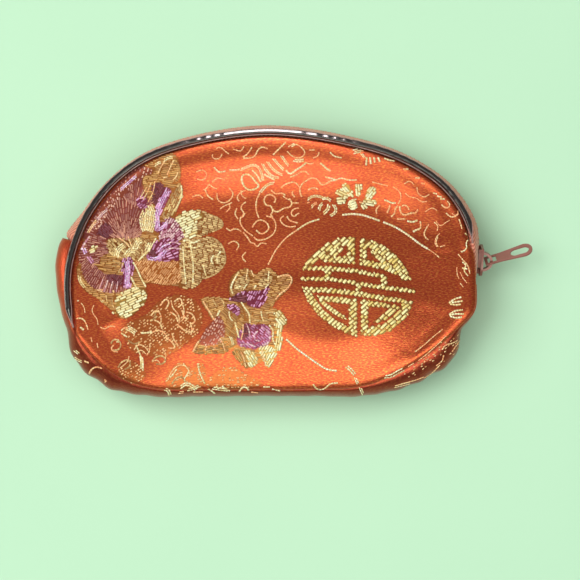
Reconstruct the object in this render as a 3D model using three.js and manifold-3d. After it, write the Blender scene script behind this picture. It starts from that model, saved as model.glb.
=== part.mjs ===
// Brocade coin purse with a zip round its arch, lying on its back on a table.
// Millimetres, +Z up. The front panel faces +Z, the zipped arch points along +Y and the
// zip's slider sits on the +X side. The origin is on the table, under the middle of the purse.
import * as THREE from 'three';
import Module from 'manifold-3d';

const wasm = await Module();
wasm.setup();

// Cloth and seams
const WALL = 1.2; // brocade with its backing and lining
const TAPE = 0.8; // woven zip tape
const GAP = 0.3; // between neighbouring pieces
const FRONT_SEAM_Z = 17;
const BACK_SEAM_Z = 3.4;
const FRONT_CROWN = 6.5; // rise of the front panel above its seam
const BACK_SHIFT = new THREE.Vector2(-1.6, -1.2); // the purse leans, so the back seam lies down and left
const BACK_INSET = 0.5; // and a little inside the front one
const PANEL_CENTRE = new THREE.Vector2(0, -2);
const DOME_FLATNESS = 2.6; // higher is flatter in the middle
const DOME_SHOULDER = 0.7; // lower is steeper at the seam
const FOLD_FADE = 8; // how late the folds fade out towards the seam
const BACK_FLAT = 0.8; // share of the back panel that lies flat on the table

// Piping and zip
const PIPING_R = 0.95;
const PIPING_TUCK = 6; // length over which each end tapers into the seam
const PIPING_END_R = 0.12;
const COIL_ACROSS = 1.2; // half the closed coil's width
const COIL_OUT = 0.8; // half its thickness
const COIL_VALLEY = 0.72; // section between two turns, as a share of a full turn
const COIL_PITCH = 1.5;
const ZIP_SINK = 0.8; // the coil's middle lies this far inside the gusset's outer line
const ZIP_TUCK_DEPTH = 2.9; // how far the zip's ends dive under the cloth strip
const ZIP_TUCK_LENGTH = 3.5;

// Faceting
const AROUND = 76; // steps round a panel
const STRIP_STEP = 3.6; // step along the gusset strip, the tapes and the piping
const PIPING_SIDES = 6;
const COIL_SIDES = 6;
const PANEL_RINGS = [1, 0.96, 0.91, 0.84, 0.72, 0.54, 0.3, 0]; // from the seam to the middle
const STRIP_COLUMNS = [1, 0.66, 0.33, 0, -0.33, -0.66, -1]; // from the front seam to the back seam

// The rim, anticlockwise from the right hip. x, y: front seam. swell: how far the gusset's
// middle line stands outside that seam. middle: that line's height above the table.
const RIM = [
  { at: 'right hip', x: 56.6, y: -6.7, swell: 0.3, middle: 6.8 },
  { at: 'slider', x: 56.2, y: 1.5, swell: 1.5, middle: 9.0 },
  { at: 'right shoulder', x: 54.8, y: 10.5, swell: 1.9, middle: 11.5 },
  { at: 'right arch, low', x: 48.8, y: 19.8, swell: 1.6, middle: 11.6 },
  { at: 'right arch, middle', x: 38.7, y: 27.0, swell: 1.4, middle: 10.9 },
  { at: 'right arch, high', x: 25.1, y: 31.8, swell: 1.5, middle: 10.4 },
  { at: 'crown', x: -1.6, y: 35.3, swell: 1.7, middle: 10.3 },
  { at: 'left arch, high', x: -29.5, y: 29.9, swell: 1.4, middle: 10.3 },
  { at: 'left arch, middle', x: -40.9, y: 23.0, swell: 1.2, middle: 10.3 },
  { at: 'left arch, low', x: -49.1, y: 13.0, swell: 1.5, middle: 10.1 },
  { at: 'left tab', x: -53.6, y: 2.0, swell: 4.0, middle: 9.6 },
  { at: 'left hip', x: -54.8, y: -6.7, swell: 3.0, middle: 9.3 },
  { at: 'left pinch', x: -53.4, y: -17.6, swell: 1.9, middle: 9.0 },
  { at: 'left corner, high', x: -49.1, y: -24.4, swell: 4.7, middle: 8.9 },
  { at: 'left corner, low', x: -42.0, y: -31.0, swell: 4.1, middle: 9.1 },
  { at: 'base, left', x: -32.2, y: -34.8, swell: 2.2, middle: 9.3 },
  { at: 'base, half left', x: -17.2, y: -35.3, swell: 1.8, middle: 9.4 },
  { at: 'base, middle', x: -2.2, y: -35.3, swell: 1.7, middle: 9.5 },
  { at: 'base, half right', x: 12.8, y: -35.2, swell: 1.8, middle: 9.4 },
  { at: 'base, right', x: 25.6, y: -34.4, swell: 2.6, middle: 9.2 },
  { at: 'right corner, low', x: 36.5, y: -30.1, swell: 4.7, middle: 8.8 },
  { at: 'right corner, high', x: 46.4, y: -23.3, swell: 5.0, middle: 8.3 },
  { at: 'right pinch', x: 53.2, y: -16.2, swell: 1.4, middle: 7.4 },
];

// Soft dents and folds of the front panel. x, y: middle. long, wide: half lengths.
// turn: direction of the long side, in degrees. rise: height, negative for a dent.
const FRONT_FOLDS = [
  { of: 'hollow right of the middle', x: 44, y: -2, long: 20, wide: 9, turn: 100, rise: -1.5 },
  { of: 'ridge inside the right corner', x: 44, y: -20, long: 16, wide: 3.5, turn: 36, rise: 0.9 },
  { of: 'groove under the piping', x: 2, y: 30, long: 34, wide: 2.2, turn: -3, rise: -0.7 },
  { of: 'swell over the base', x: 4, y: -24, long: 36, wide: 6, turn: 0, rise: 0.8 },
  { of: 'dent by the left tab', x: -46, y: -12, long: 9, wide: 5, turn: 70, rise: -0.9 },
];

// Where things start and end along the rim, in steps of the table above.
const SLIDER_AT = 0.8;
const ZIP_FROM = -0.15;
const ZIP_TO = 9.86;
const STRIP_FROM = 9.72;
const STRIP_TO = RIM.length + 0.02;
const PIPING_FROM = 1.35;
const PIPING_TO = 12.1;
const SEAM_CLOSES = 0.4; // the seam's lips come together this far beyond the piping

// Slider: its own frame has +X along the zip towards its end, +Y across it and +Z outwards.
const PLATE_LENGTH = 8.2;
const PLATE_NOSE = 6.4; // width at the end that leads when the zip closes
const PLATE_TAIL = 4.8;
const PLATE_THICK = 0.7;
const PLATE_CLEAR = 0.3; // between the coil and the outer plate
const PLATE_INSIDE = 1.5; // between the coil and the plate inside the purse
const FLANGE_WIDE = 0.6; // rims that keep the coil between the plates
const FLANGE_LONG = 5;
const FLANGE_AT = -1.4;
const FLANGE_CLEAR = 0.4; // between a rim and the tape
const POST_LONG = 1.4;
const POST_WIDE = 1.2;
const BRIDGE_SPAN = 5.6;
const BRIDGE_RISE = 3.1;
const BRIDGE_THICK = 0.7;
const BRIDGE_WIDE = 1.3;
const BRIDGE_SINK = 0.2; // its feet reach into the plate

// Pull: its own frame has +X along the tab and +Y along the hinge, through the bridge.
const PULL_LENGTH = 13.5;
const PULL_WIDE = 4.6;
const PULL_EYE_WIDE = 3.2;
const PULL_THICK = 0.6;
const PULL_EYE_LONG = 2.4; // opening that the bridge passes through
const PULL_EYE_OPEN = 2.2;
const PULL_BAR = 0.8; // cross bar under the bridge
const PULL_SLOT_LONG = 5.2;
const PULL_SLOT_WIDE = 2.7;
const PULL_SLOT_RIM = 0.95;
const PULL_LIFT = 20; // swing from straight out, up along the zip, degrees
const PULL_TWIST = 24; // play of the eye on the bridge, degrees

// Rim curves

const COUNT = RIM.length;
const seamCurve = new THREE.CatmullRomCurve3(
  RIM.map((row) => new THREE.Vector3(row.x, row.y, 0)), true, 'centripetal');
const sizeCurve = new THREE.CatmullRomCurve3(
  RIM.map((row) => new THREE.Vector3(row.swell, row.middle, 0)), true, 'centripetal');

const smooth = (share) => THREE.MathUtils.smoothstep(share, 0, 1);

// The rim at a place given in steps of the table: seam point, outward direction, swell, middle height.
function rimAt(step) {
  const t = THREE.MathUtils.euclideanModulo(step / COUNT, 1);
  const seam = seamCurve.getPoint(t);
  const along = seamCurve.getTangent(t);
  const size = sizeCurve.getPoint(t);
  return {
    seam: new THREE.Vector2(seam.x, seam.y),
    out: new THREE.Vector2(along.y, -along.x).normalize(),
    swell: size.x,
    middle: size.y,
  };
}

// Length of the rim between two steps, and evenly spaced steps between them.
function rimSteps(from, to, spacing) {
  const fine = 400; // short chords that measure the curve
  const steps = [from];
  const lengths = [0];
  for (let i = 1; i <= fine; i += 1) {
    const step = THREE.MathUtils.lerp(from, to, i / fine);
    const travelled = rimAt(step).seam.distanceTo(rimAt(steps[i - 1]).seam);
    steps.push(step);
    lengths.push(lengths[i - 1] + travelled);
  }
  const total = lengths[fine];
  const count = Math.max(2, Math.round(total / spacing));
  const even = [];
  for (let k = 0, i = 0; k <= count; k += 1) {
    const wanted = (total * k) / count;
    while (i < fine - 1 && lengths[i + 1] < wanted) i += 1;
    const share = (wanted - lengths[i]) / (lengths[i + 1] - lengths[i]);
    even.push({ step: THREE.MathUtils.lerp(steps[i], steps[i + 1], share), travelled: wanted, total });
  }
  return even;
}

// 0 at each end of a run and 1 once past the taper.
const taper = ({ travelled, total }, length) =>
  smooth(travelled / length) * smooth((total - travelled) / length);

// Room that the seam leaves for the piping at a rim step: 0 where there is none.
const pipingRun = rimSteps(PIPING_FROM, PIPING_TO, STRIP_STEP);
const openRun = rimSteps(PIPING_FROM - SEAM_CLOSES, PIPING_TO + SEAM_CLOSES, STRIP_STEP / 8);
function pipingRadius(step) {
  const place = openRun.find((next) => next.step >= THREE.MathUtils.euclideanModulo(step, COUNT));
  return place ? PIPING_R * taper(place, PIPING_TUCK) : 0;
}

const lift = (flat, z) => new THREE.Vector3(flat.x, flat.y, z);
const outwards = (rim, distance) => rim.seam.clone().addScaledVector(rim.out, distance);
const backOffset = (rim) => BACK_SHIFT.dot(rim.out) - BACK_INSET;

// Mesh helpers

// Loose triangles become a geometry whose faces point out. Those with two corners in one place are left out.
function geometryOf(triangles) {
  const apart = (a, b) => a.distanceTo(b) > 1e-6;
  const kept = triangles.filter(([a, b, c]) => apart(a, b) && apart(b, c) && apart(c, a));
  const volume = kept.reduce((sum, [a, b, c]) => sum + a.dot(new THREE.Vector3().crossVectors(b, c)), 0);
  const facing = volume < 0 ? kept.map(([a, b, c]) => [a, c, b]) : kept;
  const geometry = new THREE.BufferGeometry().setFromPoints(facing.flat());
  geometry.computeVertexNormals();
  return geometry;
}

function quads(grid, wrap, flip) {
  const made = [];
  const rows = wrap ? grid.length : grid.length - 1;
  for (let i = 0; i < rows; i += 1) {
    const here = grid[i];
    const next = grid[(i + 1) % grid.length];
    for (let j = 0; j < here.length - 1; j += 1) {
      const [a, b, c, d] = [here[j], next[j], next[j + 1], here[j + 1]];
      made.push(...(flip ? [[a, c, b], [a, d, c]] : [[a, b, c], [a, c, d]]));
    }
  }
  return made;
}

// The same skin, moved along its own normals. Columns along a seam move level, so that edges stay level,
// and the middle point of a dish moves straight up or down.
function offsetSkin(grid, distance, wrap, seams) {
  const rows = grid.length;
  return grid.map((row, i) => row.map((point, j) => {
    const before = grid[wrap ? (i + rows - 1) % rows : Math.max(i - 1, 0)][j];
    const after = grid[wrap ? (i + 1) % rows : Math.min(i + 1, rows - 1)][j];
    const along = after.clone().sub(before);
    const across = row[Math.min(j + 1, row.length - 1)].clone().sub(row[Math.max(j - 1, 0)]);
    const normal = along.lengthSq() > 0 ? along.cross(across) : new THREE.Vector3(0, 0, 1);
    if (seams.includes(j)) normal.z = 0;
    return point.clone().addScaledVector(normal.normalize(), distance);
  }));
}

// A cloth wall between two skins. A skin whose last column is one point is a closed dish.
function wall(outer, inner, wrap) {
  const last = outer[0].length - 1;
  const edge = (column) => outer.map((row, i) => [row[column], inner[i][column]]);
  const made = [...quads(outer, wrap, false), ...quads(inner, wrap, true)];
  made.push(...quads(edge(0), wrap, true), ...quads(edge(last), wrap, false));
  if (!wrap) {
    const end = outer.length - 1;
    made.push(...quads([outer[0], inner[0]], false, true));
    made.push(...quads([outer[end], inner[end]], false, false));
  }
  return geometryOf(made);
}

// A tube through rings of points, with flat ends.
function tube(rings) {
  const closed = rings.map((ring) => [...ring, ring[0]]);
  const made = quads(closed, false, false);
  [rings[0], rings[rings.length - 1]].forEach((ring, end) => {
    for (let k = 1; k < ring.length - 1; k += 1) {
      const corner = [ring[0], ring[k], ring[k + 1]];
      made.push(end ? [corner[0], corner[2], corner[1]] : corner);
    }
  });
  return geometryOf(made);
}

function mesh(name, geometry, colour, roughness, metalness = 0) {
  const material = new THREE.MeshStandardMaterial({ color: colour, roughness, metalness });
  const made = new THREE.Mesh(geometry, material);
  made.name = name;
  return made;
}

// Cuts and joins

function toSolid(geometry) {
  const flat = geometry.index ? geometry.toNonIndexed() : geometry;
  const points = flat.getAttribute('position');
  const seen = new Map();
  const vertProperties = [];
  const triVerts = [];
  for (let i = 0; i < points.count; i += 1) {
    const place = [points.getX(i), points.getY(i), points.getZ(i)];
    const key = place.map((value) => Math.round(value * 1e4)).join();
    if (!seen.has(key)) {
      seen.set(key, seen.size);
      vertProperties.push(...place);
    }
    triVerts.push(seen.get(key));
  }
  return new wasm.Manifold(new wasm.Mesh({
    numProp: 3,
    vertProperties: new Float32Array(vertProperties),
    triVerts: new Uint32Array(triVerts),
  }));
}

function fromSolid(solid) {
  const { vertProperties, triVerts } = solid.getMesh();
  const geometry = new THREE.BufferGeometry();
  geometry.setAttribute('position', new THREE.BufferAttribute(vertProperties, 3));
  geometry.setIndex(new THREE.BufferAttribute(triVerts, 1));
  geometry.computeVertexNormals();
  return geometry;
}

const join = (...geometries) => fromSolid(geometries.map(toSolid).reduce((all, next) => all.add(next)));

const block = (long, wide, high, x, y, z) => new THREE.BoxGeometry(long, wide, high).translate(x, y, z);

function slab(shape, thick, z) {
  const settings = { depth: thick, bevelEnabled: false, curveSegments: 6 };
  return new THREE.ExtrudeGeometry(shape, settings).translate(0, 0, z);
}

// Front and back panels

function foldHeight(x, y) {
  return FRONT_FOLDS.reduce((sum, fold) => {
    const turn = THREE.MathUtils.degToRad(fold.turn);
    const dx = x - fold.x;
    const dy = y - fold.y;
    const far = (dx * Math.cos(turn) + dy * Math.sin(turn)) / fold.long;
    const aside = (dy * Math.cos(turn) - dx * Math.sin(turn)) / fold.wide;
    return sum + fold.rise * Math.exp(-far * far - aside * aside);
  }, 0);
}

const domeHeight = (share) => FRONT_CROWN * Math.max(0, 1 - share ** DOME_FLATNESS) ** DOME_SHOULDER;
const foldShare = (share) => 1 - share ** FOLD_FADE;

// A panel skin as rows round the rim, each from the seam to the middle.
function panelSkin(rimPoint, height) {
  return rimSteps(0, COUNT, seamCurve.getLength() / AROUND).slice(0, -1).map(({ step }) => {
    const rim = rimPoint(step);
    return PANEL_RINGS.map((share) => {
      const flat = PANEL_CENTRE.clone().lerp(rim, share);
      return lift(flat, height(flat, share));
    });
  });
}

const panelGap = (step) => pipingRadius(step) + GAP;

function frontPanel() {
  const outer = panelSkin(
    (step) => outwards(rimAt(step), -panelGap(step)),
    (flat, share) => FRONT_SEAM_Z + domeHeight(share) + foldShare(share) * foldHeight(flat.x, flat.y),
  );
  return mesh('front_panel', wall(outer, offsetSkin(outer, -WALL, true, [0]), true), 0xc8512a, 0.45);
}

function backPanel() {
  const outer = panelSkin(
    (step) => outwards(rimAt(step), backOffset(rimAt(step)) - panelGap(step)),
    (flat, share) => BACK_SEAM_Z * Math.max(0, (share - BACK_FLAT) / (1 - BACK_FLAT)) ** 2,
  );
  return mesh('back_panel', wall(outer, offsetSkin(outer, WALL, true, [0]), true), 0xc8512a, 0.45);
}

// Gusset: from the front seam (across = 1) over the middle line (0) to the back seam (-1).

function gussetPoint(step, across, sink, tuck) {
  const rim = rimAt(step);
  const bow = 1 - Math.abs(across) ** 3;
  const back = across < 0 ? backOffset(rim) * (1 - bow) : 0;
  const end = across < 0 ? BACK_SEAM_Z + GAP + pipingRadius(step) : FRONT_SEAM_Z - GAP - pipingRadius(step);
  const z = THREE.MathUtils.lerp(rim.middle, end, Math.abs(across));
  return lift(outwards(rim, (rim.swell - sink) * bow + back - tuck), z);
}

function gussetStrip() {
  const outer = rimSteps(STRIP_FROM, STRIP_TO, STRIP_STEP)
    .map(({ step }) => STRIP_COLUMNS.map((across) => gussetPoint(step, across, 0, 0)));
  const inner = offsetSkin(outer, WALL, false, [0, STRIP_COLUMNS.length - 1]);
  return mesh('gusset_strip', wall(outer, inner, false), 0xb8431f, 0.45);
}

// Zip

// How far the zip's ends dive under the cloth strip.
const zipTuck = (place) => ZIP_TUCK_DEPTH * (1 - taper(place, ZIP_TUCK_LENGTH));

function zipTape(name, side) {
  const outer = rimSteps(ZIP_FROM, ZIP_TO, STRIP_STEP).map((place) => {
    const rim = rimAt(place.step);
    const tuck = zipTuck(place);
    const end = gussetPoint(place.step, side, ZIP_SINK, tuck);
    const half = Math.abs(end.z - rim.middle);
    const nearest = (COIL_ACROSS + GAP) / half;
    const columns = [nearest, (nearest + 1) / 2, 1];
    return columns.map((across) => gussetPoint(place.step, side * across, ZIP_SINK, tuck));
  });
  const ordered = side > 0 ? outer.map((row) => row.slice().reverse()) : outer;
  return mesh(name, wall(ordered, offsetSkin(ordered, TAPE, false, [0, 2]), false), 0xdd7a5c, 0.7);
}

// The closed coil is one ribbed cord between the tapes. It stops short of the slider's post.
function zipCoil() {
  const fine = rimSteps(SLIDER_AT - 0.02, ZIP_TO, COIL_PITCH / 2);
  const rings = fine.map((place, i) => {
    const rim = rimAt(place.step);
    const total = place.total - place.travelled + ZIP_TUCK_LENGTH;
    const tuck = zipTuck({ travelled: ZIP_TUCK_LENGTH, total });
    const middle = outwards(rim, rim.swell - ZIP_SINK - tuck);
    const size = i % 2 ? 1 : COIL_VALLEY;
    return Array.from({ length: COIL_SIDES }, (_, k) => {
      const turn = (2 * Math.PI * (k + 0.5)) / COIL_SIDES;
      const flat = middle.clone().addScaledVector(rim.out, COIL_OUT * size * Math.cos(turn));
      return lift(flat, rim.middle + COIL_ACROSS * size * Math.sin(turn));
    });
  });
  return mesh('zip_coil', tube(rings), 0xe08a6c, 0.5);
}

function piping(name, offset, z) {
  const rings = pipingRun.map((place) => {
    const rim = rimAt(place.step);
    const middle = outwards(rim, offset(rim));
    const radius = Math.max(PIPING_R * taper(place, PIPING_TUCK), PIPING_END_R);
    return Array.from({ length: PIPING_SIDES }, (_, k) => {
      const turn = (2 * Math.PI * (k + 0.5)) / PIPING_SIDES;
      const flat = middle.clone().addScaledVector(rim.out, radius * Math.cos(turn));
      return lift(flat, z + radius * Math.sin(turn));
    });
  });
  return mesh(name, tube(rings), 0x4a4347, 0.25, 0.4);
}

// Slider and pull

function plateShape() {
  const half = PLATE_LENGTH / 2;
  const nose = PLATE_NOSE / 2;
  const tail = PLATE_TAIL / 2;
  const shape = new THREE.Shape();
  shape.moveTo(-half, -tail);
  shape.lineTo(half - nose, -nose);
  shape.absarc(half - nose, 0, nose, -Math.PI / 2, Math.PI / 2, false);
  shape.lineTo(-half, tail);
  shape.closePath();
  return shape;
}

function slider() {
  const clear = COIL_OUT + PLATE_CLEAR;
  const inside = -COIL_OUT - PLATE_INSIDE;
  const top = clear + PLATE_THICK;
  const postHigh = clear - inside + PLATE_THICK;
  const postAt = PLATE_LENGTH / 2 - POST_LONG;
  const pieces = [
    slab(plateShape(), PLATE_THICK, clear),
    slab(plateShape(), PLATE_THICK, inside - PLATE_THICK),
    block(POST_LONG, POST_WIDE, postHigh, postAt, 0, (clear + inside) / 2),
  ];
  [-1, 1].forEach((side) => {
    const aside = (side * (PLATE_TAIL - FLANGE_WIDE)) / 2;
    const middle = (top + FLANGE_CLEAR) / 2;
    pieces.push(block(FLANGE_LONG, FLANGE_WIDE, top - FLANGE_CLEAR, FLANGE_AT, aside, middle));
  });
  const bridge = new THREE.Shape();
  bridge.moveTo(-BRIDGE_SPAN / 2, 0);
  bridge.absellipse(0, 0, BRIDGE_SPAN / 2, BRIDGE_RISE, Math.PI, 0, true);
  bridge.lineTo(BRIDGE_SPAN / 2 - BRIDGE_THICK, 0);
  bridge.absellipse(0, 0, BRIDGE_SPAN / 2 - BRIDGE_THICK, BRIDGE_RISE - BRIDGE_THICK, 0, Math.PI, false);
  bridge.closePath();
  const strap = slab(bridge, BRIDGE_WIDE, -BRIDGE_WIDE / 2).rotateX(Math.PI / 2);
  pieces.push(strap.translate(0, 0, top - BRIDGE_SINK));
  return mesh('zip_slider', join(...pieces), 0xb56a57, 0.35, 0.7);
}

function pull() {
  const eye = -PULL_BAR / 2;
  const neck = PULL_EYE_LONG + 2 * PULL_BAR;
  const round = PULL_WIDE / 2;
  const tip = PULL_LENGTH - PULL_BAR / 2;
  const shape = new THREE.Shape();
  shape.moveTo(eye, -PULL_EYE_WIDE / 2);
  shape.lineTo(neck, -PULL_EYE_WIDE / 2);
  shape.lineTo(tip - round, -round);
  shape.absarc(tip - round, 0, round, -Math.PI / 2, Math.PI / 2, false);
  shape.lineTo(neck, PULL_EYE_WIDE / 2);
  shape.lineTo(eye, PULL_EYE_WIDE / 2);
  shape.closePath();
  const window = new THREE.Path();
  window.moveTo(PULL_BAR / 2, -PULL_EYE_OPEN / 2);
  window.lineTo(PULL_BAR / 2, PULL_EYE_OPEN / 2);
  window.lineTo(PULL_BAR / 2 + PULL_EYE_LONG, PULL_EYE_OPEN / 2);
  window.lineTo(PULL_BAR / 2 + PULL_EYE_LONG, -PULL_EYE_OPEN / 2);
  window.closePath();
  const end = PULL_SLOT_WIDE / 2;
  const slotTo = tip - PULL_SLOT_RIM - end;
  const slotFrom = slotTo - PULL_SLOT_LONG + 2 * end;
  const slot = new THREE.Path();
  slot.moveTo(slotFrom, -end);
  slot.lineTo(slotTo, -end);
  slot.absarc(slotTo, 0, end, -Math.PI / 2, Math.PI / 2, false);
  slot.lineTo(slotFrom, end);
  slot.absarc(slotFrom, 0, end, Math.PI / 2, 1.5 * Math.PI, false);
  shape.holes.push(window, slot);
  return mesh('pull_tab', slab(shape, PULL_THICK, -PULL_THICK / 2), 0xb56a57, 0.35, 0.7);
}

// The slider's frame on the coil: along the zip, across it and outwards.
function sliderFrame() {
  const nudge = 0.05; // a short way along the rim, for its direction
  const rim = rimAt(SLIDER_AT);
  const before = rimAt(SLIDER_AT + nudge);
  const after = rimAt(SLIDER_AT - nudge);
  const coil = (place) => lift(outwards(place, place.swell - ZIP_SINK), place.middle);
  const along = coil(after).sub(coil(before)).normalize();
  const out = lift(rim.out, 0).addScaledVector(along, -lift(rim.out, 0).dot(along)).normalize();
  const across = new THREE.Vector3().crossVectors(out, along);
  const frame = new THREE.Group();
  frame.position.copy(coil(rim));
  frame.quaternion.setFromRotationMatrix(new THREE.Matrix4().makeBasis(along, across, out));
  return frame;
}

const purse = new THREE.Group();
purse.add(
  frontPanel(),
  backPanel(),
  gussetStrip(),
  zipTape('zip_tape_front', 1),
  zipTape('zip_tape_back', -1),
  zipCoil(),
  piping('piping_front', () => 0, FRONT_SEAM_Z),
  piping('piping_back', backOffset, BACK_SEAM_Z),
);

const zipHead = sliderFrame();
const hinge = new THREE.Group();
hinge.position.z = COIL_OUT + PLATE_CLEAR + PLATE_THICK + (BRIDGE_RISE - BRIDGE_THICK - BRIDGE_SINK) / 2;
hinge.rotation.order = 'YXZ';
hinge.rotation.y = THREE.MathUtils.degToRad(-90 - PULL_LIFT);
hinge.rotation.x = THREE.MathUtils.degToRad(PULL_TWIST);
hinge.add(pull());
zipHead.add(slider(), hinge);
purse.add(zipHead);

export default purse;
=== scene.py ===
# %% [markdown]
# # A brocade coin purse, dressed over its CAD frame
# The purse is a half-moon of padded silk brocade with a zip round its arch. The CAD model already has
# every piece in its real size and place, so this lesson only replaces its plain solids with finer ones.
# Everything is worked out in millimetres and turned to metres when a piece is finished.

# %% Load the CAD frame
import math
from collections import namedtuple

import bmesh
import bpy
import numpy as np
from mathutils import Matrix, Vector
from mathutils.bvhtree import BVHTree


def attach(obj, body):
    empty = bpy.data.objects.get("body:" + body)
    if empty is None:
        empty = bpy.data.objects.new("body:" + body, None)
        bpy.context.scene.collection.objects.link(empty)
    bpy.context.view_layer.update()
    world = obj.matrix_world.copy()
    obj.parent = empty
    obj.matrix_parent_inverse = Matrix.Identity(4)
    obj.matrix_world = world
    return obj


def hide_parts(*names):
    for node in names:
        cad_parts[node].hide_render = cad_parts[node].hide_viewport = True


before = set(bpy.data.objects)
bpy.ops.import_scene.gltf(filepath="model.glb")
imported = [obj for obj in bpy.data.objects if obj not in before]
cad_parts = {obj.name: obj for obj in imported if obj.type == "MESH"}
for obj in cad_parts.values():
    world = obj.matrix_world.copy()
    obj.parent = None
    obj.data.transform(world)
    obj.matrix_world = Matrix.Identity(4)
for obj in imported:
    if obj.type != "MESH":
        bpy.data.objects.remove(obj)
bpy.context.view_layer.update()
MM = 0.001

# %% [markdown]
# ## Camera, floor and light
# The purse is seen from straight above. A long lens far away keeps its sides out of sight. The floor is
# matt paper, which takes a soft shadow and has no gleam. Silk satin shows what is around it: the middle,
# which faces the camera, reflects the dim room, and the slopes reflect soft boxes at the sides. So a key
# box at the left and a ceiling light the paper, and the other boxes show in shiny surfaces only.

# %% Camera
SENSOR = 36
PHOTO_SIZE = 580  # pixels, both ways
PIXELS_PER_MM = 3.667  # at the height of the plane below
PHOTO_PLANE = 12  # mm above the table
PHOTO_ORIGIN = (268, 260.5)  # the pixel where the frame's origin lies
EYE = Vector((6.0, -8.05, 900))

scene = bpy.context.scene
scene.view_settings.view_transform = "Standard"
camera_data = bpy.data.cameras.new("camera above")
camera_data.sensor_width = SENSOR
camera_data.lens = SENSOR * (EYE.z - PHOTO_PLANE) / (PHOTO_SIZE / PIXELS_PER_MM)
camera = bpy.data.objects.new("camera above", camera_data)
camera.location = EYE * MM
scene.collection.objects.link(camera)
scene.camera = camera
print("lens", round(camera_data.lens, 1), "mm")


# %% Colours and nodes
def linear(code):
    """An sRGB hex colour as the linear numbers that shaders take."""
    parts = [int(code[i:i + 2], 16) / 255 for i in (0, 2, 4)]
    return (*[c / 12.92 if c <= 0.04045 else ((c + 0.055) / 1.055) ** 2.4 for c in parts], 1)


def add(tree, kind, sockets=None, **settings):
    """Adds a node. A socket's entry is a number, a colour or another node's output to link from."""
    node = tree.nodes.new("ShaderNode" + kind)
    for name, value in settings.items():
        setattr(node, name, value)
    for name, value in (sockets or {}).items():
        if isinstance(value, bpy.types.NodeSocket):
            tree.links.new(value, node.inputs[name])
        else:
            node.inputs[name].default_value = value
    return node


def new_material(name, **sockets):
    """A material with one Principled shader, its plain values set on the shader's own sockets."""
    material = bpy.data.materials.new(name)
    material.use_nodes = True
    shader = material.node_tree.nodes["Principled BSDF"]
    for socket, value in sockets.items():
        shader.inputs[socket.replace("_", " ")].default_value = value
    print("material:", name)
    return material, material.node_tree, shader


def mottled(name, grain, detail, dark, light, bump=0, deep=0.1, **sockets):
    """A material that wanders between two tones. grain: its blotches' size, deep: their relief, in mm."""
    material, tree, shader = new_material(name, **sockets)
    place = add(tree, "TexCoord")
    noise = add(tree, "TexNoise", {
        "Vector": place.outputs["Object"], "Scale": 1 / (grain * MM), "Detail": detail})
    tone = add(tree, "ValToRGB", {"Fac": noise.outputs["Fac"]})
    for element, colour in zip(tone.color_ramp.elements, (dark, light)):
        element.color = linear(colour)
    tree.links.new(tone.outputs["Color"], shader.inputs["Base Color"])
    if bump:
        relief = add(tree, "Bump", {
            "Height": noise.outputs["Fac"], "Strength": bump, "Distance": deep * MM})
        tree.links.new(relief.outputs["Normal"], shader.inputs["Normal"])
    return material, tree, shader, tone


# %% Floor
FLOOR_HALF = 4000  # mm

# Uncoated paper: matt, so it shows no gleam, only the soft shadow and the faint blotches of its pulp.
floor_paper, *_ = mottled(
    "matt mint paper", 111.1, 3, "B7DDBC", "BEE4C2", Roughness=0.95, Specular_IOR_Level=0.1)
bm = bmesh.new()
bmesh.ops.create_grid(bm, x_segments=2, y_segments=2, size=FLOOR_HALF * MM)
floor_mesh = bpy.data.meshes.new("floor")
bm.to_mesh(floor_mesh)
bm.free()
floor_mesh.materials.append(floor_paper)
floor = bpy.data.objects.new("floor", floor_mesh)
scene.collection.objects.link(floor)

# %% Soft boxes
# place: mm from the middle of the purse. size: the box's sides in mm. watts: its power. colour: linear.
# gleam: whether it shows in shiny surfaces. The others light the paper and throw the shadow.
SoftBox = namedtuple("SoftBox", "name place size watts colour gleam")
WHITE = (1, 1, 1)
YELLOW = (0.9, 1.12, 0.95)  # the satin's gleam is yellower than its dark parts
SOFT_BOXES = [
    SoftBox("key at the left", (-1150, 420, 1660), (1500, 1500), 29.5, WHITE, False),
    SoftBox("ceiling", (0, -200, 2000), (3000, 3000), 36.0, WHITE, False),
    SoftBox("strip beyond the arch", (0, 1190, 1700), (2600, 460), 11.5, YELLOW, True),
    SoftBox("lamp beyond the arch", (-40, 1780, 950), (640, 500), 14.0, WHITE, True),
    SoftBox("box at the far left", (-1850, 60, 400), (700, 300), 4.5, YELLOW, True),
    SoftBox("dim box over the left", (-700, 100, 1950), (900, 1500), 1.8, YELLOW, True),
    SoftBox("box at the upper right", (900, 900, 1700), (700, 460), 3.0, YELLOW, True),
    SoftBox("strip before the base", (240, -1400, 1560), (1800, 1300), 20.5, YELLOW, True),
    SoftBox("box at the lower left", (-1450, -800, 1150), (560, 560), 5.5, YELLOW, True),
    SoftBox("box at the lower right", (1000, -1250, 1400), (700, 700), 4.5, YELLOW, True),
]
for box in SOFT_BOXES:
    lamp = bpy.data.lights.new(box.name, "AREA")
    lamp.shape = "RECTANGLE"
    lamp.size, lamp.size_y = (side * MM for side in box.size)
    lamp.energy = box.watts
    lamp.color = box.colour
    holder = bpy.data.objects.new(box.name, lamp)
    holder.location = Vector(box.place) * MM
    holder.rotation_euler = Vector(box.place).to_track_quat("Z", "Y").to_euler()
    holder.visible_glossy = box.gleam
    holder.visible_diffuse = not box.gleam
    scene.collection.objects.link(holder)

ROOM_STRENGTH = 0.24
room = bpy.data.worlds.new("pale room")
room.use_nodes = True
background = room.node_tree.nodes["Background"]
background.inputs["Color"].default_value = linear("EEF6EC")
background.inputs["Strength"].default_value = ROOM_STRENGTH
scene.world = room
print(len(SOFT_BOXES), "soft boxes")

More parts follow.
